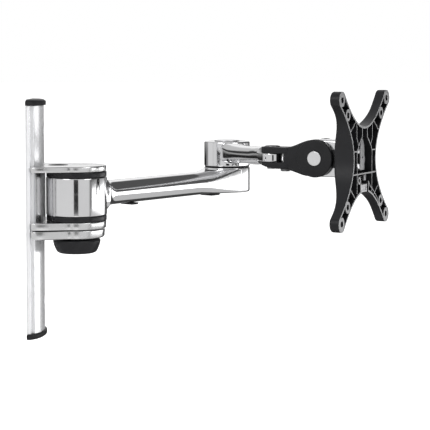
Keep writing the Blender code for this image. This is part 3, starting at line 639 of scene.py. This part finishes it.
def plate_outline(nose_r):
    nose = arc(SHOULDER[0], 0, nose_r, -98, 98, 56)
    # the flank runs tangentially from the nose to the ear in one soft curve
    p0, p3 = Vector(nose[-1]), Vector((8.5, 29.0))
    d = Vector((-math.cos(math.radians(8)), math.sin(math.radians(8)))) * 9.0
    p1, p2 = p0 + d, p3 + Vector((9.0, 0))
    flank = []
    for k in range(1, 13):
        t = k / 12
        flank.append(tuple((1 - t) ** 3 * p0 + 3 * t * (1 - t) ** 2 * p1 + 3 * t * t * (1 - t) * p2 + t ** 3 * p3))
    ear = arc(7.2, 25.6, 3.4, 90, 180, 8)[1:]
    left = flank + ear
    return nose + left + [(x, -y) for x, y in reversed(left)]


def hook_gap(z0, z1):
    """What is cut from a carriage plate so that it hooks round the channel."""
    return prism("h_gap", [(0.0, -21.4), (5.7, -21.4)] + hug(25.4, 12.4, -22.45, 22.45, 60) + [(5.7, 21.4), (0.0, 21.4)], z0 - 3, z1 + 3, helper=True)


TOP0, TOP1 = zs("carriage_bracket")[1] - 4.8, zs("carriage_bracket")[1]
LOW0 = zs("carriage_bracket")[0]
LOW1 = LOW0 + 5.8
top = prism("carriage_bracket_fine", plate_outline(24.8), TOP0, TOP1, edge=1.0, low_edge=0.4, steps=4, draft=0.3)
low = prism("h_low", plate_outline(24.8), LOW0, LOW1, helper=True, edge=0.45, low_edge=0.45, draft=0.35)
posts = []
for side in (1, -1):
    inner, outer = hug(25.4, 12.4, 21.6, 17.0, 10), hug(27.6, 14.6, 17.4, 23.4, 10)
    posts.append(prism("h_post", [(x, side * y) for x, y in inner + outer], LOW0 + 1.5, TOP1 - 1.5, helper=True))
boolean(top, [low], "UNION")
boolean(top, posts, "UNION")
boolean(
    top,
    [
        hook_gap(LOW0, TOP1),
        rod("h1", 6.3, 37, 41.3, AT_SHOULDER, True),
        rod("h2", 8.3, -5.5, 0, AT_SHOULDER, True),
        rod("h3", 4.4, -12, 0, AT_SHOULDER, True),
        rod("h4", 8.6, 42.0, 46, frame_at(24.0, 0, 0, 0), True),
    ],
    "DIFFERENCE",
)
settle(top, 0.18, 2, 40)
put(top, "carriage_bracket", POLISH_PLATE)
clear_helpers()

plug = turned("bracket_plug_fine", fillet([(0, 42.3), (8.2, 42.3), (8.2, 43.9), (5.2, 44.1), (4.6, 43.3), (1.2, 43.3), (0, 43.3)], [None, 0.3, 0.5, 0.3, 0.3, None, None]), frame_at(24.0, 0, 0, 0), n=72)
slot_cut = prism("h5", [(-5.0, -0.7), (5.0, -0.7), (5.0, 0.7), (-5.0, 0.7)], 42.9, 46, frame_at(24.0, 0, 0, 0.5), True)
boolean(plug, [slot_cut], "DIFFERENCE")
settle(plug, 0.12, 2)
put(plug, "bracket_plug", PLASTIC)
clear_helpers()

CL0, CL1 = zs("clamp_plate")
CLAMP_DROP = max(0.0, 7.0 - (CL1 - CL0))
clamp = prism("clamp_plate_fine", plate_outline(23.6), CL0 - CLAMP_DROP, CL1, edge=0.5, low_edge=1.9, steps=6, draft=0.35)
boolean(clamp, [hook_gap(CL0 - CLAMP_DROP, CL1), rod("h6", 4.4, -20, -5, AT_SHOULDER, True)], "DIFFERENCE")
settle(clamp, 0.12, 2, 50)
put(clamp, "clamp_plate", POLISH_PLATE)
clear_helpers()


def knob():
    z0, z1 = zs("clamp_knob")
    z0, z1 = z0 - CLAMP_DROP, z1 - CLAMP_DROP
    n = 192
    keys = [(0.0, 18.6, 0.0), (0.3, 19.3, 0.05), (0.8, 19.7, 0.1), (1.8, 19.8, 0.2), (3.4, 19.5, 0.35), (5.2, 19.0, 0.5), (7.0, 18.3, 0.55), (8.6, 17.6, 0.5), (9.8, 17.0, 0.4), (10.7, 16.3, 0.3), (11.3, 15.5, 0.2), (11.7, 14.3, 0.05), (11.8, 12.5, 0.0), (11.8, 9.2, 0.0), (11.5, 8.8, 0.0), (11.4, 4.0, 0.0)]
    rings = []
    for d, r, s in keys:
        rings.append([((r - s * (0.5 - 0.5 * math.cos(8 * t)) ** 2) * math.cos(t), (r - s * (0.5 - 0.5 * math.cos(8 * t)) ** 2) * math.sin(t), z1 - d) for t in (2 * math.pi * k / n for k in range(n))])
    body = loft("clamp_knob_fine", rings, AT_SHOULDER, sharp=40)
    boolean(body, [rod("h7", 4.35, z0 + 3.2, 0, AT_SHOULDER, True)], "DIFFERENCE")
    settle(body, 0.0, sharp=40)
    put(body, "clamp_knob", KNOB)
    clear_helpers()


knob()

# ================================================================== first arm
DZ0, DZ1 = 2.4, 33.8
BL0, BL1 = zs("elbow_washer")[0] - 23.1, zs("elbow_washer")[0] - 0.3
arm1 = turned(
    "lower_arm_fine",
    fillet([(12.6, DZ0), (25.4, DZ0), (25.4, DZ1), (12.6, DZ1)], [0.3, 0.7, 0.7, 0.3], 5, True),
    AT_SHOULDER,
    n=180,
    hole=True,
)
keys1 = [
    # x, half width, z0, z1, bottom radius, top radius
    (17.0, 14.8, 4.2, 32.0, 8.0, 8.0),
    (25.0, 14.8, 4.4, 31.8, 8.0, 8.0),
    (28.0, 13.6, 5.6, 30.6, 8.0, 8.0),
    (31.5, 12.3, 7.4, 28.9, 8.2, 8.2),
    (37.0, 12.0, 8.0, 28.3, 8.6, 9.2),
    (70.0, 12.0, 8.2, 28.5, 8.6, 9.2),
    (110.0, 12.0, 8.4, 28.7, 8.4, 9.2),
    (150.0, 12.0, 8.8, 29.0, 7.4, 9.0),
    (162.0, 12.9, 8.9, 29.3, 6.2, 8.6),
    (172.0, 15.0, 8.9, 29.9, 4.6, 7.0),
    (182.0, 17.8, 8.9, 30.7, 3.2, 4.6),
    (192.0, 20.2, 8.9, 31.3, 2.2, 2.2),
    (200.0, 21.2, 8.9, 31.5, 2.0, 1.2),
]
beam = loft("h_beam", smooth_rings(keys1, 110, 10), ALONG_ARM1, True)
block = turned("h_block", fillet([(0, BL0), (21.3, BL0), (21.3, BL1), (0, BL1)], [None, 2.0, 0.8, None], 6), AT_ELBOW, True, 140)
boolean(arm1, [beam, block], "UNION")
boolean(
    arm1,
    [
        rod("h8", 8.6, 5, 40, AT_ELBOW, True),
        rod("h9", 10.4, 0, 13.6, AT_ELBOW, True),
        rod("h10", 12.6, 0, 40, AT_SHOULDER, True, 180),
    ],
    "DIFFERENCE",
)
settle(arm1, 0.35, 3, 22)
put(arm1, "lower_arm", POLISH_ARM)
clear_helpers()
for node, s, l in (("cable_clip_1", 65.0, 5.2), ("cable_clip_2", 175.0, 7.2)):
    z1 = zs(node)[1]
    clip = loft(node + "_fine", smooth_rings([(s - l, 6.0, z1 - 0.9, z1, 0.4, 0.3), (s - l + 2.0, 7.0, z1 - 1.5, z1, 0.7, 0.3), (s + l - 2.0, 7.0, z1 - 1.5, z1, 0.7, 0.3), (s + l, 6.0, z1 - 0.9, z1, 0.4, 0.3)], 24, 4), ALONG_ARM1)
    put(clip, node, PLASTIC)

for node, z0, z1, sp in (("shoulder_bush_top", 34.1, 38.6, 24.0), ("shoulder_bush_bottom", -2.4, 2.1, 12.0)):
    inner, hub, flange = 8.3, 12.3, 25.1
    if sp < z0:
        prof = [(inner, sp), (hub, sp), (hub, z0), (flange, z0), (flange, z1), (inner, z1)]
        rad = [0.2, 0.3, 0.2, 0.7, 0.7, 0.2]
    else:
        prof = [(inner, z0), (flange, z0), (flange, z1), (hub, z1), (hub, sp), (inner, sp)]
        rad = [0.2, 0.7, 0.7, 0.2, 0.3, 0.2]
    put(turned(node + "_fine", fillet(prof, rad, 5, True), AT_SHOULDER, n=160, hole=True), node, RING)

# ================================================================== elbow
wz0, wz1 = zs("elbow_washer")
put(turned("elbow_washer_fine", fillet([(6.4, wz0), (20.8, wz0), (20.8, wz1), (6.4, wz1)], [0.1, 0.3, 0.3, 0.1], 4, True), AT_ELBOW, n=128, hole=True), "elbow_washer", RING)
put(turned("elbow_cap_fine", fillet([(0, 54.6), (9.0, 54.6), (9.0, 56.1), (11.7, 56.1), (11.7, 56.9), (8.0, 57.35), (3.0, 57.4), (0, 57.4)], [None, 0.3, None, 0.15, 0.35, 2.0, None, None], 6), AT_ELBOW, n=128), "elbow_cap", SATIN_CAP)

# ================================================================== second arm
HB0, HB1 = 33.1, 55.8
arm2 = turned("upper_arm_fine", fillet([(0, HB0), (21.3, HB0), (21.3, HB1), (0, HB1)], [None, 0.9, 1.3, None], 6), AT_ELBOW, n=140)
keys2 = [
    (6.0, 12.6, 34.4, 55.0, 5.0, 3.0),
    (16.0, 12.3, 35.4, 54.9, 6.5, 4.5),
    (26.0, 11.6, 36.2, 54.6, 7.5, 6.5),
    (36.0, 11.0, 37.0, 54.2, 7.8, 7.4),
    (50.0, 10.4, 38.0, 54.2, 7.8, 7.6),
    (85.0, 9.8, 39.2, 55.2, 7.6, 7.6),
    (L2 - 20.0, 9.6, 40.4, 56.0, 6.8, 6.8),
    (L2 - 15.0, 9.4, 40.7, 56.0, 6.2, 6.2),
    (L2 - 12.6, 9.3, 42.6, 53.6, 4.4, 4.4),
    (L2 - 10.6, 9.3, 44.4, 51.5, 1.2, 1.2),
    (L2, 9.4, 44.4, 51.5, 1.0, 1.0),
]
beam2 = loft("h_beam2", smooth_rings(keys2, 120, 8), ALONG_ARM2, True)
tongue = turned("h_tongue", fillet([(0, 44.4), (9.4, 44.4), (9.4, 51.5), (0, 51.5)], [None, 0.8, 0.8, None]), AT_PAN, True, 96)
boolean(arm2, [beam2, tongue], "UNION")
boolean(
    arm2,
    [
        rod("h11", 8.6, 30, 47, AT_ELBOW, True),
        rod("h12", 6.4, 40, 60, AT_ELBOW, True),
        rod("h13", 9.3, 48.0, 60, AT_ELBOW, True),
        rod("h14", 4.6, 40, 60, AT_PAN, True),
    ],
    "DIFFERENCE",
)
settle(arm2, 0.35, 3, 24)
put(arm2, "upper_arm", POLISH_ARM)
clear_helpers()

# ================================================================== head
def lug_outline(r=9.5, n=32):
    return arc(-TILT_REACH, 0, r, 90, 270, n) + [(-33.0, -9.7), (-29.0, -10.6), (-26.0, -11.4), (-26.0, 11.4), (-29.0, 10.6), (-33.0, 9.7)]


yoke_keys = [
    (-30.0, 10.2, -10.3, 8.4, 2.0, 2.0),
    (-28.0, 10.7, -10.5, 8.6, 3.0, 3.0),
    (-24.0, 11.8, -11.2, 9.3, 3.6, 3.6),
    (-18.0, 12.6, -12.8, 11.2, 3.6, 3.6),
    (-12.0, 12.7, -14.6, 13.6, 3.2, 3.2),
    (-6.0, 12.6, -15.3, 15.1, 3.0, 3.0),
]
yoke = loft("head_yoke_fine", smooth_rings(yoke_keys, 50, 8), AT_TILT)
cheeks = []
for s0, s1, near in ((-14.2, -8.7, True), (8.7, 14.2, False)):
    cheeks.append(turned("h_cheek", fillet([(0, s0), (16.0, s0), (16.0, s1), (0, s1)], [None, 1.1 if near else 0.4, 0.4 if near else 1.1, None], 6), AT_TILT @ SIDEWAYS, True, 140))
lugs = [
    prism("h_lug_u", lug_outline(), 51.8 - TILT_Z, 57.0 - TILT_Z, AT_TILT, True, edge=1.0, low_edge=0.4, steps=4),
    prism("h_lug_l", lug_outline(), 38.6 - TILT_Z, 44.1 - TILT_Z, AT_TILT, True, edge=0.4, low_edge=1.2, steps=4),
]
boolean(yoke, cheeks + lugs, "UNION")
UPRIGHT = Matrix(((1, 0, 0, 0), (0, 0, -1, 0), (0, 1, 0, 0), (0, 0, 0, 1)))
under_tip = prism("h_under", [(-60, -5.0), (-54.5, -6.6), (-47.0, -8.6), (-39.5, -9.9), (-37.0, -10.15), (-36.0, -14.0), (-60, -14.0)], -15, 15, AT_TILT @ UPRIGHT, True)
boolean(yoke, [under_tip], "DIFFERENCE")
at_stop = frame_at(PAN[0] + 12.4 * math.cos(ah), PAN[1] + 12.4 * math.sin(ah), 0, ah)
boolean(
    yoke,
    [
        rod("h20", 16.9, -8.8, 8.8, AT_TILT @ SIDEWAYS, True, 128),
        rod("h21", 4.3, -20, 20, AT_TILT @ SIDEWAYS, True, 48),
        rod("h22", 6.4, -20, -11.4, AT_TILT @ SIDEWAYS, True, 72),
        rod("h23", 6.4, 11.4, 20, AT_TILT @ SIDEWAYS, True, 72),
        rod("h24", 3.3, 30, 70, AT_PAN, True, 48),
        rod("h25", 2.3, 34, 46, at_stop, True, 32),
    ],
    "DIFFERENCE",
)
settle(yoke, 0.4, 3, 24)
put(yoke, "head_yoke", PAINT)
clear_helpers()

put(turned("pan_pin_fine", fillet([(0, 38.4), (3.0, 38.4), (3.0, 57.1), (6.7, 57.1), (6.5, 57.7), (4.8, 58.2), (2.7, 58.2), (2.5, 57.4), (0, 57.4)], [None, 0.3, 0.2, 0.2, 0.3, 0.5, 0.2, 0.2, None], 4), AT_PAN, n=96), "pan_pin", DARK_STEEL)
hexa = [(5.6 * math.cos(math.pi / 3 * k), 5.6 * math.sin(math.pi / 3 * k)) for k in range(6)]
nut = prism("pan_nut_fine", [(x * 0.9, y * 0.9) for x, y in hexa], 38.1, 41.0, AT_PAN, edge=0.0)
boolean(nut, [rod("h30", 3.3, 30, 40, AT_PAN, True, 48)], "DIFFERENCE")
settle(nut, 0.3, 3)
put(nut, "pan_nut", DARK_STEEL)
put(turned("pan_stop_screw_fine", fillet([(0, 37.2), (1.9, 37.2), (2.2, 36.2), (4.2, 36.2), (4.2, 38.3), (2.0, 38.3), (2.0, 43.6), (0, 43.6)], [None, 0.2, 0.3, 0.7, 0.2, 0.2, 0.3, None], 4), at_stop, n=72), "pan_stop_screw", DARK_STEEL)
clear_helpers()
for node, s in (("tilt_cap_near", -1), ("tilt_cap_far", 1)):
    put(turned(node + "_fine", fillet([(0, 11.7 * s), (6.1, 11.7 * s), (6.1, 14.6 * s), (5.0, 14.6 * s), (0, 14.6 * s)], [None, 0.3, 0.35, None, None], 5), AT_TILT @ SIDEWAYS, n=96), node, SATIN_CAP)

knuckle = rod("tilt_knuckle_fine", 15.2, -8.4, 8.4, AT_TILT @ SIDEWAYS, n=140, edge=1.0)
shank = loft("h31", smooth_rings([(-0.1, 8.2, -15.7, 15.7, 1.8, 1.8), (12.0, 8.2, -15.7, 15.7, 1.8, 1.8), (17.4, 8.0, -15.6, 15.6, 2.2, 2.2)], 16, 6), AT_TILT, True)
spigot = rod("h32", 6.0, 10.0, FACE_REACH - 6.2, AT_TILT @ OUTWARD, True, 64)
boolean(knuckle, [shank, spigot], "UNION")
boolean(knuckle, [rod("h33", 6.2, -20, 20, AT_TILT @ SIDEWAYS, True), rod("h34", 2.4, 22, 60, AT_TILT @ OUTWARD, True, 48)], "DIFFERENCE")
settle(knuckle, 0.3, 3, 28)
put(knuckle, "tilt_knuckle", POLISH_HEAD)
clear_helpers()
put(turned("roll_washer_fine", fillet([(2.6, -5.3), (8.8, -5.3), (8.8, -4.3), (2.6, -4.3)], [0.2, 0.3, 0.3, 0.2], 4, True), FACE_ON, n=96, hole=True), "roll_washer", STEEL)
screw = turned("roll_screw_fine", fillet([(0, -15.5), (2.0, -15.5), (2.0, -4.0), (4.6, -4.0), (4.6, -1.6), (0, -1.6)], [None, 0.3, 0.2, 0.2, 1.0, None], 5), FACE_ON, n=72)
boolean(screw, [prism("h35", [(2.0 * math.cos(math.pi / 3 * k), 2.0 * math.sin(math.pi / 3 * k)) for k in range(6)], -3.4, 2, FACE_ON, True)], "DIFFERENCE")
settle(screw, 0.1, 2)
put(screw, "roll_screw", DARK_STEEL)
clear_helpers()


# ================================================================== face plate
def plate_quarter(k=30):
    q = []
    for i in range(k):
        v = 45.3 * i / (k - 1)
        q.append((25.0 + 30.5 * (v / 45.7) ** 1.918, v))
    q += arc(50.0, 50.0, 7.0, -38, 140, 34)
    for i in range(k):
        u = 44.3 * (1 - i / (k - 1))
        q.append((u, 27.0 + 27.5 * (u / 44.64) ** 1.93))
    return q


def clean(points, least=0.05):
    out = []
    for p in points:
        if not out or math.dist(p, out[-1]) > least:
            out.append(p)
    if math.dist(out[0], out[-1]) <= least:
        out.pop()
    return out


Q = plate_quarter()
X_OUT = clean(Q + [(-u, v) for u, v in reversed(Q)][1:] + [(-u, -v) for u, v in Q][1:] + [(u, -v) for u, v in reversed(Q)][1:-1])


def fall(v):
    """How far the plate has thinned, from 0 at the middle to 1 out on the arms."""
    t = min(1.0, max(0.0, (abs(v) - 5.0) / 36.0))
    return t * t * (3 - 2 * t)


def side_profile(name, tip, mid, top):
    back = []
    for k in range(53):
        v = 58.5 - 117.0 * k / 52
        back.append((v, -(mid - (mid - tip) * fall(v))))
    prof = [(58.5, top)] + back + [(-58.5, top)]
    return loft(name, [[(u, v, w) for v, w in prof] for u in (-60.0, 60.0)], FACE_ON, True)


plate = prism("vesa_plate_fine", X_OUT, -19.5, 0, FACE_ON)
boolean(plate, [side_profile("p1", 8.7, 17.5, 5)], "INTERSECT")
settle(plate)


def round_back(obj, outline, radius):
    """Rounds the edge where the side walls meet the back of the plate."""
    bm = bmesh.new()
    bm.from_mesh(obj.data)
    n_dir = (FACE_ON.to_3x3() @ Vector((0, 0, 1))).normalized()
    picked = []
    for e in bm.edges:
        if len(e.link_faces) != 2:
            continue
        d0, d1 = (f.normal.dot(n_dir) for f in e.link_faces)
        if min(d0, d1) < -0.6 and abs(max(d0, d1)) < 0.3:
            picked.append(e)
    bmesh.ops.bevel(bm, geom=picked, offset=radius * MM, segments=5, profile=0.5, affect="EDGES", clamp_overlap=False)
    bm.to_mesh(obj.data)
    bm.free()


round_back(plate, X_OUT, 1.7)
pocket = prism("p2", offset(X_OUT, -1.55), -16.6, 4, FACE_ON, True)
boolean(pocket, [side_profile("p3", 6.4, 15.2, 6)], "INTERSECT")
boolean(plate, [pocket], "DIFFERENCE")


def bar(u0, v0, u1, v1, w=1.1, top=-0.15):
    """A thin wall between two points of the pocket; its foot follows the pocket's floor."""
    l = math.hypot(u1 - u0, v1 - v0)
    du, dv = (u1 - u0) / l, (v1 - v0) / l
    rings = []
    steps = max(2, int(l / 3))
    for i in range(steps + 1):
        u, v = u0 + (u1 - u0) * i / steps, v0 + (v1 - v0) * i / steps
        foot = -(16.4 - 8.8 * fall(v))
        rings.append([(u - dv * w / 2, v + du * w / 2, foot), (u + dv * w / 2, v - du * w / 2, foot), (u + dv * w / 2, v - du * w / 2, top), (u - dv * w / 2, v + du * w / 2, top)])
    return loft("p_bar", rings, FACE_ON, True)


def spot(u, v):
    return FACE_ON @ Matrix.Translation((u * MM, v * MM, 0))


adds = []
for su in (1, -1):
    for sv in (1, -1):
        adds.append(rod("p4", 5.4, -7.6, -0.1, spot(su * 50, sv * 50), True, 48))
        adds.append(rod("p5", 5.0, -8.2, -0.1, spot(su * 37.5, sv * 37.5), True, 48))
adds += [
    rod("p6", 3.1, -13.85, -0.35, spot(-11.6, -17.4), True, 40),
    rod("p7", 9.6, -FACE_REACH + 18.0, -5.6, FACE_ON, True, 80),
]
boolean(plate, adds, "UNION")
bars = []
for su in (1, -1):
    bars += [
        bar(su * 31.8, 23.4, su * 21.0, 31.2, 0.9, -0.2),
        bar(su * 31.8, -23.4, su * 21.0, -31.2, 0.9, -0.2),
        bar(su * 16.9, 7.4, su * 16.6, -28.4, 0.9, top=-0.2),
        bar(su * 25.6, 7.0, su * 16.4, 7.0, 1.2, top=-0.18),
        bar(su * 17.8, 29.8, su * 17.6, 17.4, 0.9, top=-0.25),
        bar(su * 17.7, 17.9, su * 13.8, 11.4, 0.9, top=-0.22),
        bar(su * 5.6, 26.8, su * 5.6, 18.6, 1.2, top=-0.12),
        bar(su * 5.4, 19.1, su * 13.8, 11.2, 1.2, top=-0.2),
        bar(su * 13.5, 11.8, su * 16.9, 6.4, 1.1, top=-0.16),
    ]
bars += [
    bar(-25.6, -12.0, 25.6, -12.0, 1.25, top=-0.14),
    # a latch housing: two walls round the button, the right one running on beside the lower notch
    bar(-8.7, -27.0, -8.7, -17.4, 1.1, top=-0.2),
    bar(8.9, -27.0, 8.9, -18.6, 1.1, top=-0.2),
    bar(8.7, -18.8, 12.6, -23.0, 0.9, top=-0.25),
    bar(12.4, -22.9, 20.4, -27.4, 0.9, top=-0.3),
    bar(20.2, -27.2, 28.2, -33.4, 0.9, top=-0.25),
    bar(28.1, -33.2, 34.0, -39.6, 0.9, top=-0.3),
]
ribs_bm = bmesh.new()
for b_ in bars:
    ribs_bm.from_mesh(b_.data)
ribs_mesh = bpy.data.meshes.new("plate_ribs")
ribs_bm.to_mesh(ribs_mesh)
ribs_bm.free()
ribs = bpy.data.objects.new("plate_ribs", ribs_mesh)
bpy.context.scene.collection.objects.link(ribs)
bev = ribs.modifiers.new("rounded_edges", "BEVEL")
bev.width = 0.12 * MM
bev.segments = 2
bev.limit_method = "ANGLE"
add(ribs, "screen_plate", PLATE_PAINT)
holes = []
for su in (1, -1):
    for sv in (1, -1):
        for r in (50.0, 37.5):
            holes.append(rod("p8", 2.5, -25, 5, spot(su * r, sv * r), True, 40))
holes.append(rod("p9", 1.5, -12, 5, spot(-11.6, -17.4), True, 28))
holes.append(rod("p10", 6.3, -40, 5, FACE_ON, True, 64))
holes.append(prism("p11", [(-8.0, -30.0), (8.0, -30.0), (8.0, -18.2), (-8.0, -18.2)], -8.5, 5, FACE_ON, True))
boolean(plate, holes, "DIFFERENCE")
settle(plate, 0.16, 2, 38)
put(plate, "vesa_plate", PLATE_PAINT)
clear_helpers()

strip = [(-9.4, -8.8), (-0.4, -8.8), (-0.4, 9.0), (-1.6, 13.0), (-4.0, 17.2), (-6.0, 17.2), (-8.4, 13.0), (-9.4, 9.0)]
slider = prism("release_slider_fine", strip, -1.3, -0.4, FACE_ON, edge=0.2)
boolean(slider, [rod("p13", 1.0, -5, 5, spot(-5.0, 1.5), True, 32)], "DIFFERENCE")
settle(slider)
put(slider, "release_slider", SLIDE)
button = prism("release_button_fine", [(-6.8, -28.0), (6.8, -28.0), (6.8, -20.6), (-6.8, -20.6)], -7.6, -0.6, FACE_ON, edge=0.7, low_edge=0.5, steps=5)
boolean(button, [prism("p14", [(-4.4, -26.0), (4.4, -26.0), (4.4, -22.4), (-4.4, -22.4)], -1.1, 4, FACE_ON, True)], "DIFFERENCE")
settle(button, 0.12, 2)
put(button, "release_button", BUTTON)
stem = prism("latch_stem", [(0.6, -18.2), (5.0, -18.2), (5.0, -13.0), (0.6, -13.0)], -2.6, -1.0, FACE_ON, edge=0.3)
add(stem, "screen_plate", SLIDE)
for s_ in (-1, 1):
    lo_s, hi_s = (-9.7, -8.3) if s_ < 0 else (8.3, 9.7)
    pad = prism("knuckle_pad_%s" % ("near" if s_ < 0 else "far"), [(11.0, -6.5), (12.5, -7.8), (17.7, -7.8), (17.7, 7.8), (12.5, 7.8), (11.0, 6.5)], lo_s, hi_s, AT_TILT @ Matrix(((1, 0, 0, 0), (0, 0, 1, 0), (0, 1, 0, 0), (0, 0, 0, 1))), edge=0.35, low_edge=0.35)
    add(pad, "tilt_block", PLASTIC)
clear_helpers()

# ================================================================== CAD nodes kept as they are, with fine materials
for node, obj in frame["nodes"].items():
    if node in done:
        continue
    obj.data.materials.clear()
    obj.data.materials.append(material_of.get(node, STEEL))

# ================================================================== studio
floor_z = CAD_BOX[0][2] - 0.16
bm = bmesh.new()
bmesh.ops.create_grid(bm, x_segments=1, y_segments=1, size=30)
fm = bpy.data.meshes.new("studio_floor")
bm.to_mesh(fm)
bm.free()
floor = bpy.data.objects.new("studio_floor", fm)
floor.location = (0, 0, floor_z)
bpy.context.scene.collection.objects.link(floor)
fn = Nodes("pale_floor")
fn.link(fn.mix_color(fn.range(fn.noise(1.5, 3, 0.5), 0.3, 0.7, 0, 1), (0.86, 0.86, 0.86), (0.88, 0.88, 0.88)), fn.bsdf.inputs["Base Color"])
fn.bsdf.inputs["Roughness"].default_value = 0.9
fn.bsdf.inputs["Emission Color"].default_value = (1, 1, 1, 1)
fn.bsdf.inputs["Emission Strength"].default_value = 0.35
floor.visible_glossy = False
floor.data.materials.append(fn.m)

# the studio: white all round, with the dark gap where the camera stands, a grey stand, and a dark ceiling
world = bpy.data.worlds.new("studio")
bpy.context.scene.world = world
world.use_nodes = True
wt = world.node_tree
wt.nodes.clear()


def wn(kind, **kw):
    node = wt.nodes.new(kind)
    for k, v in kw.items():
        setattr(node, k, v)
    return node


def wmath(op, a, b=None):
    node = wn("ShaderNodeMath", operation=op)
    for i, v in enumerate((a, b)):
        if v is None:
            continue
        if isinstance(v, (int, float)):
            node.inputs[i].default_value = v
        else:
            wt.links.new(v, node.inputs[i])
    return node.outputs[0]


out = wn("ShaderNodeOutputWorld")
coord = wn("ShaderNodeTexCoord")
sep = wn("ShaderNodeSeparateXYZ")
wt.links.new(coord.outputs["Generated"], sep.inputs[0])
X, Y, Z = sep.outputs
az = wmath("ARCTAN2", X, wmath("MULTIPLY", Y, -1.0))  # 0 towards the camera, positive to the right
az = wmath("MULTIPLY", az, 180 / math.pi)
el = wmath("MULTIPLY", wmath("ARCSINE", Z), 180 / math.pi)


def band(value, lo, hi, soft=1.0):
    """1 between lo and hi degrees, with soft edges."""
    up = wn("ShaderNodeMapRange")
    wt.links.new(value, up.inputs["Value"])
    up.inputs["From Min"].default_value = lo - soft
    up.inputs["From Max"].default_value = lo + soft
    down = wn("ShaderNodeMapRange")
    wt.links.new(value, down.inputs["Value"])
    down.inputs["From Min"].default_value = hi - soft
    down.inputs["From Max"].default_value = hi + soft
    return wmath("MULTIPLY", up.outputs["Result"], wmath("SUBTRACT", 1.0, down.outputs["Result"]))


level = 1.0
shade = None
# (azimuth from, to, elevation from, to, softness, brightness it pulls towards, how much)
BANDS = [
    # the front: a soft grey studio behind the camera, darker high up
    (-112, 60, 22, 91, 8.0, 0.22, 0.85),
    (-112, -78, -91, 60, 5.0, 0.62, 0.6),
    (-78, -74, -91, 50, 1.0, 0.40, 0.8),
    (-74, -5, -91, 40, 3.0, 0.66, 0.75),
    (-5.5, 12.0, -12.0, 4, 0.8, 0.03, 1.0),
    (12.0, 55, -91, 40, 1.0, 0.62, 0.75),
    (55, 67, -91, 50, 2.0, 0.10, 0.85),
    (67, 80, -91, 40, 5.0, 0.5, 0.6),
    # the right: dark above the horizon, a black line on it, bright below it, a warm grey floor
    (66, 160, -9, -2, 1.2, 3.4, 1.0),
    (60, 169, 2, 72, 5.0, 0.065, 0.97),
    (60, 160, 0.5, 5, 0.8, 0.015, 1.0),
    (60, 160, -2.5, 0.5, 0.6, 0.35, 0.8),
    (60, 160, -91, -9, 1.6, 0.60, 1.0),
    # the left and rear: light above, a dark line, grey, white, and a dark floor
    (-166, -112, 12, 70, 4.0, 0.55, 0.9),
    (-166, -112, 2, 13, 2.0, 0.04, 1.0),
    (-130, -112, -20, 2, 4.0, 0.24, 0.95),
    (-181, -128, -20, 1, 5.0, 0.02, 1.0),
    (-181, -112, -91, -30, 4.0, 0.05, 0.97),
    (134, 181, -91, 1, 4.0, 0.04, 0.97),
    # overhead
    (-181, 181, 70, 95, 5.0, 0.30, 0.9),
]
current = None
for a0, a1_, e0, e1, soft, tone, amount in BANDS:
    m = wmath("MULTIPLY", wmath("MULTIPLY", band(az, a0, a1_, soft), band(el, e0, e1, soft)), amount)
    mix = wn("ShaderNodeMix", data_type="FLOAT")
    wt.links.new(m, mix.inputs[0])
    if current is None:
        mix.inputs[2].default_value = 1.0
    else:
        wt.links.new(current, mix.inputs[2])
    mix.inputs[3].default_value = tone
    current = mix.outputs[0]
studio_bg = wn("ShaderNodeBackground")
wt.links.new(current, studio_bg.inputs["Strength"])
studio_bg.inputs["Color"].default_value = (1.0, 1.0, 1.0, 1)
plain = wn("ShaderNodeBackground")
plain.inputs["Color"].default_value = (1.0, 1.0, 1.0, 1)
plain.inputs["Strength"].default_value = 1.0
path = wn("ShaderNodeLightPath")
mixer = wn("ShaderNodeMixShader")
wt.links.new(path.outputs["Is Glossy Ray"], mixer.inputs[0])
wt.links.new(plain.outputs[0], mixer.inputs[1])
wt.links.new(studio_bg.outputs[0], mixer.inputs[2])
wt.links.new(mixer.outputs[0], out.inputs["Surface"])


def area(name, loc, target, size, energy, color=(1, 1, 1)):
    light = bpy.data.lights.new(name, "AREA")
    light.shape = "RECTANGLE"
    light.size, light.size_y = size
    light.energy = energy
    light.color = color
    obj = bpy.data.objects.new(name, light)
    obj.location = loc
    obj.rotation_euler = (Vector(target) - Vector(loc)).to_track_quat("-Z", "Y").to_euler()
    obj.visible_camera = False
    bpy.context.scene.collection.objects.link(obj)
    return obj


area("key_left", (-1.1, -1.6, 1.2), (0.15, 0, 0), (1.0, 1.0), 14)
area("fill_right", (1.5, -1.2, 0.8), (0.2, 0, 0), (0.9, 0.9), 9)
area("floor_wash", (0.2, 0.6, 1.6), (0.2, 0.4, floor_z), (2.4, 2.4), 26).visible_glossy = False

# ================================================================== camera, at the photograph's viewing angle
camera_data = bpy.data.cameras.new("camera")
camera_data.sensor_width = 36.0
F_PX = 1500.0
camera_data.lens = 36.0 * F_PX / 430.0
camera_data.shift_y = -0.16
camera_data.dof.use_dof = False
camera_data.clip_end = 60
camera = bpy.data.objects.new("camera", camera_data)
pitch = math.atan((150.0 - 0.16 * 430.0) / F_PX)
camera.location = (0.155, -1.250, 0.127)
camera.rotation_euler = (math.pi / 2 - pitch, 0, 0)
bpy.context.scene.collection.objects.link(camera)
bpy.context.scene.camera = camera
bpy.context.scene.view_settings.view_transform = "Standard"

bpy.context.view_layer.update()
